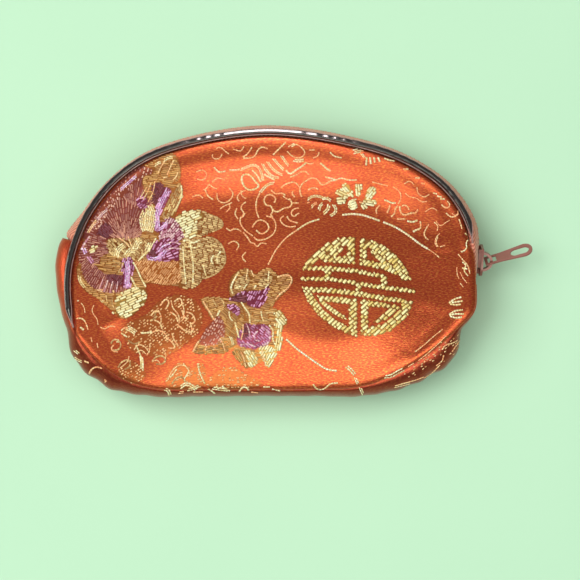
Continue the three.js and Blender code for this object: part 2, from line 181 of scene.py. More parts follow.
# %% [markdown]
# ## The rim that everything follows
# Panels, gusset, piping and zip all follow one seam line. The CAD model draws it as a closed spline
# through named places, and the same table is repeated here, so that each new piece lands on its solid.
# Only the small knee at the right, where the cloth folds over the zip's end, is added here.
# A place on the rim is a number of steps along the table, anticlockwise from the right hip.

# %% Rim table
# x, y: front seam. swell: how far the gusset's middle line stands outside it. middle: that line's height.
RimPlace = namedtuple("RimPlace", "at x y swell middle")
RIM = [
    RimPlace("right hip", 56.6, -6.7, 0.3, 6.8),
    RimPlace("slider", 56.2, 1.5, 1.5, 9.0),
    RimPlace("right shoulder", 54.8, 10.5, 1.9, 11.5),
    RimPlace("right arch, low", 48.8, 19.8, 1.6, 11.6),
    RimPlace("right arch, middle", 38.7, 27.0, 1.4, 10.9),
    RimPlace("right arch, high", 25.1, 31.8, 1.5, 10.4),
    RimPlace("crown", -1.6, 35.3, 1.7, 10.3),
    RimPlace("left arch, high", -29.5, 29.9, 1.4, 10.3),
    RimPlace("left arch, middle", -40.9, 23.0, 1.2, 10.3),
    RimPlace("left arch, low", -49.1, 13.0, 1.5, 10.1),
    RimPlace("left tab", -53.6, 2.0, 4.0, 9.6),
    RimPlace("left hip", -54.8, -6.7, 3.0, 9.3),
    RimPlace("left pinch", -53.4, -17.6, 1.9, 9.0),
    RimPlace("left corner, high", -49.1, -24.4, 4.7, 8.9),
    RimPlace("left corner, low", -42.0, -31.0, 4.1, 9.1),
    RimPlace("base, left", -32.2, -34.8, 2.2, 9.3),
    RimPlace("base, half left", -17.2, -35.3, 1.8, 9.4),
    RimPlace("base, middle", -2.2, -35.3, 1.7, 9.5),
    RimPlace("base, half right", 12.8, -35.2, 1.8, 9.4),
    RimPlace("base, right", 25.6, -34.4, 2.6, 9.2),
    RimPlace("right corner, low", 36.5, -30.1, 4.7, 8.8),
    RimPlace("right corner, high", 46.4, -23.3, 5.8, 8.3),
    RimPlace("right pinch", 52.4, -17.9, 1.0, 7.4),
    RimPlace("right knee", 56.2, -13.4, 0.4, 7.0),
]
COUNT = len(RIM)
FRONT_SEAM_Z = 17
BACK_SEAM_Z = 3.4
BACK_SHIFT = np.array((-1.6, -1.2))  # the purse leans, so the back seam lies down and left
BACK_INSET = 0.5
SEAM_ROOM = 0.12  # between the cloth and the piping
PIPING_R = 0.95
PIPING_TUCK = 6  # length over which each end of the piping tapers into the seam
PIPING_FROM, PIPING_TO = 1.35, 12.1  # rim steps
SEAM_CLOSES = 0.4  # rim steps over which the seam closes beyond the piping
print(COUNT, "places on the rim")


# %% Rim curves
def closed_spline(knots, steps):
    """Points on the closed centripetal spline through the knots, at these steps."""
    knots = np.asarray(knots, float)
    step = np.asarray(steps, float) % len(knots)
    first = np.floor(step).astype(int)
    part = (step - first)[:, None]
    p = [knots[(first + k) % len(knots)] for k in (-1, 0, 1, 2)]
    d = [np.sum((p[k + 1] - p[k]) ** 2, 1, keepdims=True) ** 0.25 + 1e-9 for k in range(3)]
    leave = ((p[1] - p[0]) / d[0] - (p[2] - p[0]) / (d[0] + d[1]) + (p[2] - p[1]) / d[1]) * d[1]
    reach = ((p[2] - p[1]) / d[1] - (p[3] - p[1]) / (d[1] + d[2]) + (p[3] - p[2]) / d[2]) * d[1]
    square = -3 * p[1] + 3 * p[2] - 2 * leave - reach
    cube = 2 * p[1] - 2 * p[2] + leave + reach
    return p[1] + leave * part + square * part ** 2 + cube * part ** 3


def seam(steps):
    return closed_spline([(row.x, row.y) for row in RIM], steps)


def outward(steps):
    """The level direction out of the purse at these rim steps."""
    along = seam(np.asarray(steps) + 1e-3) - seam(np.asarray(steps) - 1e-3)
    out = np.stack([along[:, 1], -along[:, 0]], 1)
    return out / np.linalg.norm(out, axis=1, keepdims=True)


def gusset_size(steps):
    """The swell and the middle height at these rim steps."""
    return closed_spline([(row.swell, row.middle) for row in RIM], steps).T


FINE_STEPS = 1200  # enough to measure along the seam


def even_steps(start, end, spacing):
    """Rim steps at even distances along the seam, how far along each is, and the whole length."""
    fine = np.linspace(start, end, FINE_STEPS)
    travelled = np.r_[0, np.cumsum(np.linalg.norm(np.diff(seam(fine), axis=0), axis=1))]
    wanted = np.linspace(0, travelled[-1], max(3, round(travelled[-1] / spacing)) + 1)
    return np.interp(wanted, travelled, fine), wanted, travelled[-1]


def smooth(share):
    share = np.clip(share, 0, 1)
    return share * share * (3 - 2 * share)


def taper(travelled, total, length):
    """0 at both ends of a run and 1 once past the taper."""
    return smooth(travelled / length) * smooth((total - travelled) / length)


OPEN_SPACING = 0.4  # mm
OPEN_STEPS, OPEN_TRAVELLED, OPEN_TOTAL = even_steps(
    PIPING_FROM - SEAM_CLOSES, PIPING_TO + SEAM_CLOSES, OPEN_SPACING)


def piping_radius(steps):
    """The room that the seam leaves for the piping: 0 where there is none."""
    room = PIPING_R * taper(OPEN_TRAVELLED, OPEN_TOTAL, PIPING_TUCK)
    return np.interp(np.asarray(steps) % COUNT, OPEN_STEPS, room, left=0, right=0)


def back_offset(steps):
    return outward(steps) @ BACK_SHIFT - BACK_INSET


def stacked(flat, z):
    return np.column_stack([flat, np.broadcast_to(z, len(flat))])


print("seam length", round(even_steps(0, COUNT, 1)[2], 1), "mm")


# %% Piece helpers
def grid(columns, rows):
    """A sheet of squares with a UV map, whose vertices a function then moves into place."""
    bm = bmesh.new()
    bm.loops.layers.uv.new("UVMap")
    bmesh.ops.create_grid(bm, x_segments=columns, y_segments=rows, size=1, calc_uvs=True)
    return bm


def shape(bm, places):
    """Moves the sheet's vertices: places takes u and v from 0 to 1 and gives points and UVs in mm."""
    flat = np.array([vert.co for vert in bm.verts])
    points, uvs = places((flat[:, 0] + 1) / 2, (flat[:, 1] + 1) / 2)
    for vert, point in zip(bm.verts, points):
        vert.co = point
    layer = bm.loops.layers.uv.active
    bm.verts.index_update()
    for face in bm.faces:
        for loop in face.loops:
            loop[layer].uv = uvs[loop.vert.index]


def finish_piece(name, bm, material, body="purse", replaces=()):
    """Turns a bmesh in mm into an object in metres that rides on a CAD body."""
    bm.normal_update()
    mesh = bpy.data.meshes.new(name)
    bm.to_mesh(mesh)
    bm.free()
    mesh.transform(Matrix.Scale(MM, 4))
    mesh.polygons.foreach_set("use_smooth", [True] * len(mesh.polygons))
    mesh.materials.append(material)
    made = bpy.data.objects.new(name, mesh)
    scene.collection.objects.link(made)
    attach(made, body)
    if replaces:
        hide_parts(*replaces)
    print(name, len(mesh.polygons), "faces")
    return made


def thicken(made, mm):
    """Gives a sheet its wall, inwards from the side that shows."""
    wall = made.modifiers.new("wall", "SOLIDIFY")
    wall.thickness = mm * MM
    wall.offset = -1
    wall.use_even_offset = False
    return made


# %% [markdown]
# ## Silk brocade
# The ground is red-orange satin: red warp floats with orange weft peeping through. Long floats lie
# side by side, so it gleams like a soft metal, and the gleam is tinted. A Principled shader that is
# mostly metallic gives that. Noise stretched along the threads makes the floats, drawn 0.25 mm wide
# where real ones are 0.1 mm, because finer ones would not show. The cloth's own UV map is in mm.

# %% Brocade ground
FLOAT_LONG, FLOAT_WIDE = 0.8, 0.25  # mm
WEFT_TURN = -7  # degrees, the way the cloth was laid on the panel

brocade, tree, shader = new_material(
    "red-orange silk satin brocade", Metallic=0.85, Roughness=0.29, Sheen_Weight=0.1,
    Sheen_Roughness=0.4, Sheen_Tint=linear("FF9A5A"))
uv = add(tree, "UVMap", uv_map="UVMap")
threads = add(tree, "Mapping", {
    "Vector": uv.outputs["UV"], "Rotation": (0, 0, math.radians(-WEFT_TURN)),
    "Scale": (1 / FLOAT_LONG, 1 / FLOAT_WIDE, 1)})
floats = add(tree, "TexNoise", {"Vector": threads.outputs["Vector"], "Scale": 1, "Detail": 1.5})
satin = add(tree, "ValToRGB", {"Fac": floats.outputs["Fac"]})
for element, (at, colour) in zip(
        [satin.color_ramp.elements[0], satin.color_ramp.elements.new(0.5), satin.color_ramp.elements[-1]],
        [(0.24, "A63630"), (0.5, "C24C2C"), (0.78, "E08444")]):
    element.position, element.color = at, linear(colour)
# figure_tint holds the figures' under-colour, and on the gusset a painted shade along its base.
figure = add(tree, "Attribute", attribute_name="figure_tint")
tinted = add(tree, "Mix", {
    "Factor": figure.outputs["Alpha"], "A": satin.outputs["Color"], "B": figure.outputs["Color"]},
    data_type="RGBA")
relief = add(tree, "Bump", {"Height": floats.outputs["Fac"], "Strength": 0.5, "Distance": 0.1 * MM})
tree.links.new(tinted.outputs["Result"], shader.inputs["Base Color"])
tree.links.new(relief.outputs["Normal"], shader.inputs["Normal"])

# %% [markdown]
# ## The front panel
# A padded panel is a dome that is steep at its seam and nearly flat in the middle, with the soft dents
# that a filled purse has. A square grid is rounded to a disc and stretched to the seam line, which
# keeps its squares even for the cloth simulation. The simulation lets the cloth be a little larger than
# its seam and blows it up, so it settles with slack that no formula has. Beside the seam the cloth rolls
# over its own allowance and then dips, where the stitches hold it down.

# %% Dome and folds
FRONT_CROWN = 6.5
PANEL_CENTRE = np.array((0, -2))
DOME_FLATNESS = 2.6  # higher is flatter in the middle
DOME_SHOULDER = 0.7  # lower is steeper at the seam
FOLD_FADE = 8
TURNED_IN = 0.97  # beyond this share of the disc the cloth is the allowance that turns into the seam

# x, y: middle. long, wide: half lengths. turn: degrees. rise: mm, negative for a dent.
Fold = namedtuple("Fold", "of x y long wide turn rise")
FRONT_FOLDS = [
    Fold("hollow right of the middle", 42.5, -9.5, 16, 10, 98, -2.2),
    Fold("ridge inside the right corner", 45, -20, 17, 6, 36, 1.4),
    Fold("swell left of the middle", -24, -6, 24, 11, -8, 1.3),
    Fold("swell under the roundel", 7, -5.5, 16, 9, 0, 1.35),
    Fold("swell over the base", 4, -24, 36, 6, 0, 0.5),
    Fold("dent by the left tab", -46, -12, 9, 5, 70, -0.9),
]


def fold_height(flat, folds):
    total = np.zeros(len(flat))
    for fold in folds:
        turn = math.radians(fold.turn)
        dx, dy = flat[:, 0] - fold.x, flat[:, 1] - fold.y
        far = (dx * math.cos(turn) + dy * math.sin(turn)) / fold.long
        aside = (dy * math.cos(turn) - dx * math.sin(turn)) / fold.wide
        total += fold.rise * np.exp(-far ** 2 - aside ** 2)
    return total


print(len(FRONT_FOLDS), "folds")


# %% From a square grid to the panel's outline
AROUND_STEPS = np.linspace(0, COUNT, 100 * COUNT + 1)
PANEL_HALF = np.array((56, 35))  # the ellipse that turns the disc's angles into the panel's


def disc_to_rim(u, v):
    """A point of the unit square as its share of the way to the seam and the rim step it lies towards."""
    x, y = 2 * u - 1, 2 * v - 1
    disc = np.stack([x * np.sqrt(1 - y * y / 2), y * np.sqrt(1 - x * x / 2)], 1)
    share = np.linalg.norm(disc, axis=1)
    angle = np.arctan2(disc[:, 1] * PANEL_HALF[1], disc[:, 0] * PANEL_HALF[0])
    spokes = seam(AROUND_STEPS) - PANEL_CENTRE
    rim_angle = np.unwrap(np.arctan2(spokes[:, 1], spokes[:, 0]))
    steps = np.interp(rim_angle[0] + (angle - rim_angle[0]) % (2 * math.pi), rim_angle, AROUND_STEPS)
    return share, steps


def panel_points(u, v, inset, height):
    """Points of a panel: inset is how far its edge stays inside the seam, height gives z."""
    share, steps = disc_to_rim(u, v)
    lying = np.minimum(share / TURNED_IN, 1)
    edge = seam(steps) + outward(steps) * inset(steps)[:, None]
    flat = PANEL_CENTRE + (edge - PANEL_CENTRE) * lying[:, None]
    turned = np.maximum(share - TURNED_IN, 0) / (1 - TURNED_IN)
    return flat, lying, turned, steps, height(flat, lying)


# %% Roll and dip beside the seam
ALLOWANCE = 1.5  # how deep the turned-in edge goes
TURN_IN = 0.5  # how far it leans inwards
PIPING_IN = 0.45  # how far the piping is drawn in over the panel
DIP_AT = 6  # mm inside the edge, where the stitches hold the cloth down
DIP_FADE = 11  # mm over which the dome takes over again
# how deep the dip is at rim steps from the right hip round to it again, mm
DIP_STEPS = (0, 2, 4, 5, 6, 8, 10, 12, 13.5, 15, 17, 19, 20.5, 22, COUNT)
DIP_DEPTHS = (1.0, 0.9, 0.9, 1.3, 1.7, 1.6, 1.3, 1.1, 1.2, 0.6, 0.4, 0.6, 1.2, 1.0, 1.0)


def seam_dip(flat, edge, steps):
    """How far the cloth lies under the dome beside its seam."""
    from_edge = np.linalg.norm(edge - flat, axis=1)
    share = smooth(from_edge / DIP_AT) * (1 - smooth((from_edge - DIP_AT) / DIP_FADE))
    return np.interp(steps % COUNT, DIP_STEPS, DIP_DEPTHS) * share


def front_points(u, v):
    flat, lying, turned, steps, z = panel_points(
        u, v,
        lambda at: -(piping_radius(at) + SEAM_ROOM + PIPING_IN * smooth(2 * piping_radius(at) / PIPING_R)),
        lambda flat, share: FRONT_SEAM_Z
        + FRONT_CROWN * np.maximum(0, 1 - share ** DOME_FLATNESS) ** DOME_SHOULDER
        + (1 - share ** FOLD_FADE) * fold_height(flat, FRONT_FOLDS))
    edge = PANEL_CENTRE + (flat - PANEL_CENTRE) / np.maximum(lying, 1e-6)[:, None]
    z = z - seam_dip(flat, edge, steps)
    flat = flat - outward(steps) * (TURN_IN * turned)[:, None]
    return stacked(flat, z - ALLOWANCE * turned), flat


# %% Cloth simulation of the padding's swell
SIM_COLUMNS, SIM_ROWS = 96, 64
SIM_SCALE = 0.01  # one millimetre is a centimetre in the simulation, where the solver is steadier
SIM_FRAMES = 20
SIM_CAP = 0.4  # mm that the cloth may move
SIM_PINNED = 0.955  # beyond this share of the way to the seam the cloth is held

CLOTH_SETTINGS = {
    "quality": 8, "mass": 0.3, "tension_stiffness": 20, "compression_stiffness": 20, "bending_stiffness": 8,
    "use_pressure": True, "uniform_pressure_force": 0.3, "shrink_min": -0.0015, "vertex_group_mass": "seam"}


def simulate_slack():
    """How far each point of a coarse panel settles up or down, as rows of the grid."""
    bm = grid(SIM_COLUMNS, SIM_ROWS)
    flat = np.array([vert.co for vert in bm.verts])
    shape(bm, front_points)
    mesh = bpy.data.meshes.new("slack")
    bm.to_mesh(mesh)
    bm.free()
    mesh.transform(Matrix.Scale(SIM_SCALE, 4))
    trial = bpy.data.objects.new("slack", mesh)
    scene.collection.objects.link(trial)
    rim_share = disc_to_rim((flat[:, 0] + 1) / 2, (flat[:, 1] + 1) / 2)[0]
    pinned = trial.vertex_groups.new(name="seam")
    pinned.add([int(i) for i in np.nonzero(rim_share > SIM_PINNED)[0]], 1.0, "REPLACE")
    cloth = trial.modifiers.new("cloth", "CLOTH")
    for name, value in CLOTH_SETTINGS.items():
        setattr(cloth.settings, name, value)
    cloth.settings.effector_weights.gravity = 0
    cloth.point_cache.frame_end = SIM_FRAMES
    start = np.array([vert.co for vert in mesh.vertices])
    for number in range(1, SIM_FRAMES + 1):
        scene.frame_set(number)
    settled = trial.evaluated_get(bpy.context.evaluated_depsgraph_get()).to_mesh()
    end = np.array([vert.co for vert in settled.vertices])
    bpy.data.objects.remove(trial)
    scene.frame_set(1)
    order = np.lexsort((flat[:, 0], flat[:, 1]))
    moved = ((end - start)[:, 2] / SIM_SCALE)[order].reshape(SIM_ROWS + 1, SIM_COLUMNS + 1)
    return SIM_CAP * np.tanh(moved / SIM_CAP)


slack = simulate_slack()
print("slack moves the cloth from", slack.min().round(2), "to", slack.max().round(2), "mm")


# %% Front panel mesh
PANEL_COLUMNS, PANEL_ROWS = 256, 160
CLOTH_WALL = 1.0


def slack_at(u, v):
    """The simulated movement between the coarse grid's points."""
    column, row = u * SIM_COLUMNS, v * SIM_ROWS
    i = np.clip(column.astype(int), 0, SIM_COLUMNS - 1)
    j = np.clip(row.astype(int), 0, SIM_ROWS - 1)
    a, b = smooth(column - i), smooth(row - j)
    low = slack[j, i] * (1 - a) + slack[j, i + 1] * a
    high = slack[j + 1, i] * (1 - a) + slack[j + 1, i + 1] * a
    return low * (1 - b) + high * b


def front_with_slack(u, v):
    points, uvs = front_points(u, v)
    points[:, 2] += slack_at(u, v)
    return points, uvs


bm = grid(PANEL_COLUMNS, PANEL_ROWS)
shape(bm, front_with_slack)
front_brocade = finish_piece("front_brocade", bm, brocade, replaces=["front_panel"])
thicken(front_brocade, CLOTH_WALL)

# %% [markdown]
# ## Back panel and gusset
# The back lies on the table, so it is flat but for its turned-up edge. The gusset is one strip of the
# same cloth from the left tab round the base to the right hip. It bows out between its two seams and
# puckers where it goes round the corners.

# %% Back panel
BACK_FLAT = 0.8  # share of the back panel that lies flat on the table
BACK_LIFT = 0.15  # room for the threads under it


def back_points(u, v):
    flat, lying, turned, steps, z = panel_points(
        u, v,
        lambda at: back_offset(at) - piping_radius(at) - SEAM_ROOM,
        lambda flat, share: BACK_LIFT
        + (BACK_SEAM_Z - BACK_LIFT) * np.maximum(0, (share - BACK_FLAT) / (1 - BACK_FLAT)) ** 2)
    flat = flat - outward(steps) * (TURN_IN * turned)[:, None]
    return stacked(flat, z + ALLOWANCE * turned), flat


bm = grid(PANEL_COLUMNS // 2, PANEL_ROWS // 2)
shape(bm, back_points)
bmesh.ops.reverse_faces(bm, faces=bm.faces)
back_brocade = finish_piece("back_brocade", bm, brocade, replaces=["back_panel"])
thicken(back_brocade, CLOTH_WALL)

# %% Gusset strip
STRIP_FROM, STRIP_TO = 9.72, COUNT + 0.02
STRIP_SPACING = 0.7
STRIP_ROWS = 30
PUCKER_PITCH = 6.5  # mm between puckers along the seam
PUCKER_DEEP = 0.35
PUCKER_LEAST = 0.15  # share of that depth away from the corners
PUCKER_DRIFT, DRIFT_LENGTH = 1.3, 9  # radians and mm: the pitch wanders
CORNERS = ((13.6, 0.9), (20.8, 1.0))  # rim steps: the middle of each corner and how far its puckers reach
STRIP_TURN_IN = 1.6
HALF_WIDTH = 7  # mm of cloth from the middle line to a seam, for the UV map


def gusset_points(steps, across, sink=0.0):
    """Points from the back seam (across -1) over the middle line (0) to the front seam (1)."""
    swell, middle = gusset_size(steps)
    bow = 1 - np.abs(across) ** 3
    reach = (swell - sink) * bow + np.where(across < 0, back_offset(steps) * (1 - bow), 0)
    room = SEAM_ROOM + piping_radius(steps)
    end = np.where(across < 0, BACK_SEAM_Z + room, FRONT_SEAM_Z - room)
    z = middle + (end - middle) * np.abs(across)
    return seam(steps) + outward(steps) * reach[:, None], z


strip_steps, strip_travelled, strip_total = even_steps(STRIP_FROM, STRIP_TO, STRIP_SPACING)
TURNED_ROWS = 0.05  # share of the strip's width that turns into each seam


def strip_points(u, v):
    steps = np.interp(u * strip_total, strip_travelled, strip_steps)
    across = np.clip((2 * v - 1) / (1 - 2 * TURNED_ROWS), -1, 1)
    turned = np.maximum(np.abs(2 * v - 1) / (1 - 2 * TURNED_ROWS) - 1, 0) / (2 * TURNED_ROWS)
    flat, z = gusset_points(steps, across)
    travelled = u * strip_total
    phase = 2 * math.pi * travelled / PUCKER_PITCH + PUCKER_DRIFT * np.sin(travelled / DRIFT_LENGTH)
    corner = np.max([np.exp(-((steps - middle) / reach) ** 2) for middle, reach in CORNERS], axis=0)
    pucker = PUCKER_DEEP * np.sin(phase) * (1 - across ** 2) * (PUCKER_LEAST + (1 - PUCKER_LEAST) * corner)
    flat = flat + outward(steps) * (pucker - STRIP_TURN_IN * turned)[:, None]
    return stacked(flat, z), np.column_stack([travelled, across * HALF_WIDTH])


bm = grid(len(strip_steps) - 1, STRIP_ROWS)
shape(bm, strip_points)
gusset_brocade = finish_piece("gusset_brocade", bm, brocade, replaces=["gusset_strip"])
thicken(gusset_brocade, CLOTH_WALL)

# %% [markdown]
# ## Threads of the brocade's figures
# The figures are woven with extra wefts that float over the satin: a peony, a smaller flower, a
# longevity roundel in a ring, clouds and plum blossom. A flat picture of them would not catch the light,
# so every float is a small lens of thread lying on the cloth. They are charted as outlines and
# lines over the photograph's pixels, filled with rows of floats, and dropped on the panel along the
# camera's rays. All floats of one thread are joined into one mesh from arrays.

# %% Threads
def chart_rows(text):
    """A chart's rows as lists of the cells between bars. A row is a line and the indented ones under it."""
    rows = text.strip().replace("\n ", " ").split("\n")
    return [[cell.strip() for cell in row.split("|")] for row in rows]


# Silk and lurex wefts lie in soft floats, and each catches the light a little differently, so a thread's
# floats run from dark to light. under, cover: the tint of the cloth below and how far it covers the satin.
# pitch: between rows. long and gap: along a row. wide and high: one float, all in mm. skip: share left out.
Thread = namedtuple("Thread", "material dark light under cover metallic pitch long gap wide high skip")
THREADS = {key: Thread(*cells[:4], *map(float, cells[4:])) for key, *cells in chart_rows("""
gold | gold lurex weft | E4C468 | FFF4B2 | A8703A | 0.85 | 0.05 | 0.92 | 2.3 | 0.1 | 0.9 | 0.11 | 0
pale | pale gold lurex weft | EED08C | FFFACC | AA8444 | 0.85 | 0.05 | 0.64 | 2.4 | 0.1 | 0.66 | 0.08 | 0.04
cream | cream silk weft | F6E2A6 | FFFCDC | 9A5A34 | 0.85 | 0.05 | 1.0 | 6.0 | 0.06 | 0.98 | 0.12 | 0
tan | tan silk weft | A8743E | F0CC8A | 985E30 | 0.85 | 0.05 | 0.55 | 1.8 | 0.1 | 0.56 | 0.07 | 0.05
bronze | bronze silk weft | A86C38 | DCA45E | A66632 | 0.85 | 0.2 | 0.5 | 2.6 | 0.06 | 0.54 | 0.05 | 0
amber | amber silk weft | CC844A | F4B87C | BA6834 | 0.85 | 0.1 | 0.5 | 2.2 | 0.1 | 0.42 | 0.06 | 0.04
peach | peach silk weft | FFAE74 | FFE2A6 | B0522A | 0 | 0.05 | 0.5 | 1.3 | 0.2 | 0.42 | 0.14 | 0
fleck | apricot silk weft | D08A4C | FFD69A | A8602E | 0.55 | 0.05 | 0.66 | 0.9 | 0.3 | 0.4 | 0.1 | 0.45
mauve | mauve silk weft | 985250 | DA9A80 | 8A4240 | 0.85 | 0.1 | 0.5 | 2.0 | 0.05 | 0.34 | 0.07 | 0.06
rose | rose silk weft | C87E92 | FFE4DC | 8A3858 | 0.85 | 0.05 | 0.55 | 1.6 | 0.15 | 0.5 | 0.1 | 0.04
plum | plum silk weft | A04C74 | F6B4DC | 7A2C4C | 0.85 | 0.05 | 0.6 | 1.6 | 0.2 | 0.48 | 0.1 | 0.08
clay | clay silk weft | BC7A70 | FACCB0 | 9A4A3C | 0.85 | 0.05 | 0.62 | 1.2 | 0.4 | 0.42 | 0.1 | 0.1
dusk | dusk purple silk weft | 6A2C36 | 904650 | 642A36 | 0.85 | 0.2 | 0.5 | 2.2 | 0.06 | 0.5 | 0.05 | 0
lilac | lilac silk weft | D090D0 | FCE4FC | A8629E | 0.85 | 0.05 | 0.5 | 1.8 | -0.2 | 0.6 | 0.1 | 0
""")}
print(len(THREADS), "threads")

# %% Chart of filled figures
# A row is a figure's name, its thread, its turn and its outline in pixels of the photograph. The turn is
# its floats' direction in degrees, or the pixel that they fan out from. A later figure lies over an earlier
# one. The roundel's bars are all of one thread and one direction.
Fill = namedtuple("Fill", "of thread turn outline")


def filled(text):
    return [Fill(*cells) for cells in chart_rows(text)]


ROUNDEL = [Fill(bar, "gold", "42", outline) for bar, outline in chart_rows("""
upper left arc | 303,269 308,259 318,250 331,242 343,237 355,237 355,245 345,245 334,249 323,256
    315,263 311,269
upper left bar | 347,242 355,242 355,264 347,262
upper left foot | 319,257 350,256 355,258 355,264 340,263 322,262
upper left hook | 319,259 330,251 341,246 344,249 338,254 328,259
upper right arc | 360,238 372,240 385,246 397,256 406,268 412,280 402,280 396,271 388,262
    378,253 368,247 360,246
upper right bar | 360,242 367,243 367,266 360,265
upper right foot | 360,259 372,261 386,264 400,272 396,275 384,270 370,267 360,265
upper right hook | 371,249 377,252 385,259 393,267 386,267 378,260 371,254
first beam | 303,266 330,266 355,269 376,273 386,275 386,279 360,274 335,271 303,270
left link | 325,270 331,270 331,279 325,278
right link | 381,276 387,277 387,288 381,286
second beam | 301,277 330,277 355,281 385,286 415,289 415,293 385,290 355,285 330,281 301,281
middle link | 356,283 361,284 361,293 356,292
third beam | 302,287 330,288 357,291 385,296 405,299 404,303 385,301 357,296 330,293 303,292
lower left arc | 303,290 308,302 318,315 331,326 345,333 357,337 357,329 347,326 336,320 324,310
    316,300 311,292
lower left bar | 349,299 357,300 357,333 349,331
lower left head | 317,296 340,297 357,299 357,305 338,303 320,301
lower left hook | 319,297 327,303 336,310 345,316 347,320 338,317 328,310 320,303
lower right arc | 361,335 372,336 386,333 398,325 408,314 413,301 404,301 399,311 391,319
    381,325 370,327 361,328
lower right bar | 361,300 368,301 368,332 361,332
lower right head | 361,299 379,302 396,305 394,308 380,307 361,306
lower right hook | 373,322 384,313 394,304 400,307 391,316 379,323
""")]
PEONY = filled("""
ground | bronze | -7 | 83,238 91,220 103,202 110,194 119,184 131,172 143,166 154,160 163,155 174,154 180,166
    180,180 183,192 178,206 176,218 186,211 198,210 221,220 223,226 212,232 200,238 211,237 220,243 225,254
    225,263 217,273 204,279 196,287 183,288 172,285 156,284 147,284 147,296 141,307 128,318 121,318 111,310
    98,299 85,290 77,276 79,260 81,248
upper left petal | mauve | 134,212 | 110,195 119,184 131,172 144,166 154,178 156,196 148,208 138,207 128,202
    118,201
left petal | mauve | 126,244 | 83,238 91,220 103,202 112,195 134,204 146,210 142,226 140,240 116,240 102,240
left petal's shade | dusk | -40 | 97,237 99,228 104,223 111,226 113,234 105,239
wedge | bronze | -7 | 143,178 153,170 160,182 158,194 150,200 144,190
wedge's shade | dusk | 60 | 152,186 159,182 164,186 161,198 155,206 151,198
magenta corner | plum | 40 | 136,200 141,196 148,200 147,207 139,208
bud | bronze | -7 | 155,167 162,160 173,157 180,166 180,178 172,184 163,184 158,178
narrow petal | tan | 66 | 180,184 183,194 179,206 170,218 163,219 165,206 172,194
right upper petal | tan | -15 | 176,219 186,211 198,210 210,214 221,220 223,226 212,232 198,238 184,241
    178,232
right upper gleam | pale | 24 | 175,219 186,211 198,211 203,216 197,222 198,230 194,237 184,237 180,226
throat | rose | 146,264 | 160,231 164,219 173,218 180,226 184,237 176,241 160,241
heart | plum | 146,264 | 148,247 157,240 178,240 183,250 180,263 162,262 148,261
heart's shade | dusk | 60 | 149,251 153,249 157,256 154,260 149,259
right petal | tan | -15 | 181,242 195,239 211,237 220,243 225,254 225,263 217,273 204,279 196,287 183,288
    180,275 179,258
middle petal | amber | 52 | 134,262 146,260 164,261 179,262 181,280 172,285 156,284 146,281 139,271
left end | mauve | 132,250 | 79,252 88,237 104,237 112,248 110,262 94,264 80,264
stamen ground | tan | -45 | 106,241 116,238 130,238 146,238 152,244 144,258 126,260 112,256
left small petal | bronze | -7 | 100,258 108,254 116,257 124,258 125,268 122,276 110,275 102,268
low petal's shade | mauve | 126,226 | 82,260 91,256 98,268 108,274 124,276 126,291 112,294 96,290 84,278
low petal's plum | dusk | 60 | 106,276 116,274 124,277 124,284 112,284
low petal | bronze | -7 | 79,275 85,280 96,290 112,293 124,290 134,283 144,287 147,296 141,307 128,318
    121,318 111,310 98,299 85,290
low petal's gleam | pale | 24 | 115,300 128,289 140,288 147,295 144,304 134,313 126,318 118,314 115,306
upper left gleam | pale | 30 | 135,175 142,171 146,173 140,178
left gleam | pale | 60 | 113,198 116,192 119,191 118,199
left spot | pale | 30 | 89,251 93,246 98,246 95,251 91,254
rim of the left petals | clay | 126,240 | 90,226 98,212 112,195 122,184 134,173 147,167 153,172 142,178
    130,189 119,202 108,214 98,229
upper streak | plum | 66 | 166,187 171,191 167,202 162,212 160,222 167,222 168,226 160,232 154,230 154,217
    156,206 161,196
lower streak | plum | 82 | 122,259 132,258 134,268 132,277 131,288 124,288 122,276
""")
SECOND_FLOWER = filled("""
ground | bronze | -7 | 203,301 213,297 229,298 231,288 229,282 236,272 248,269 254,275 262,270 270,268
    277,276 288,274 293,279 288,289 278,299 272,306 277,310 285,318 282,332 282,346 277,352 270,366 264,362
    258,364 250,368 243,361 236,350 224,351 194,351 204,336 214,320
top left petal | bronze | -7 | 231,296 229,288 232,279 238,271 248,269 254,277 252,288 243,292
top middle petal | bronze | -7 | 254,278 260,271 269,268 278,276 276,288 262,290 252,289
top right petal | bronze | 10 | 277,278 288,274 293,279 288,289 278,299 272,306 266,300 268,289
top gleam | tan | -10 | 234,288 238,278 247,274 250,281 243,289
top middle gleam | tan | -10 | 258,284 264,274 271,272 272,282 264,287
left leaf | bronze | 20 | 201,299 213,297 223,298 226,306 216,318 213,320 207,311
left petal's foot | bronze | -7 | 193,352 199,340 206,344 224,341 229,351 212,354
centre petal | bronze | -40 | 220,312 232,304 241,306 244,318 242,330 239,342 230,348 226,336 223,322
right centre petal | bronze | -7 | 242,302 252,309 264,308 277,310 284,318 276,325 262,324 250,324 245,314
wedge | plum | 60 | 229,300 240,292 252,291 262,290 269,286 268,296 260,308 250,306 244,302
wedge's shade | dusk | -7 | 230,300 238,294 247,296 247,302 238,302
left petal | clay | 60 | 219,316 225,326 223,340 212,346 200,344 204,332 212,322
small plum patch | plum | 30 | 227,306 234,304 241,311 238,316 231,312
magenta patch | plum | -40 | 242,326 254,324 266,325 272,333 268,345 254,349 243,347 237,343
magenta patch's shade | dusk | 80 | 243,327 248,325 249,336 243,340
bottom left petal, back | bronze | -60 | 232,351 244,350 248,362 248,369 240,363
bottom left petal | pale | -60 | 244,351 250,350 257,358 257,364 250,368 247,360
bottom right petal | pale | 60 | 259,348 268,345 277,352 273,360 269,368 264,362
right band | pale | 80 | 275,323 282,323 282,338 280,351 274,350 276,338
right tip | pale | -50 | 274,312 281,311 287,324 280,325
""")
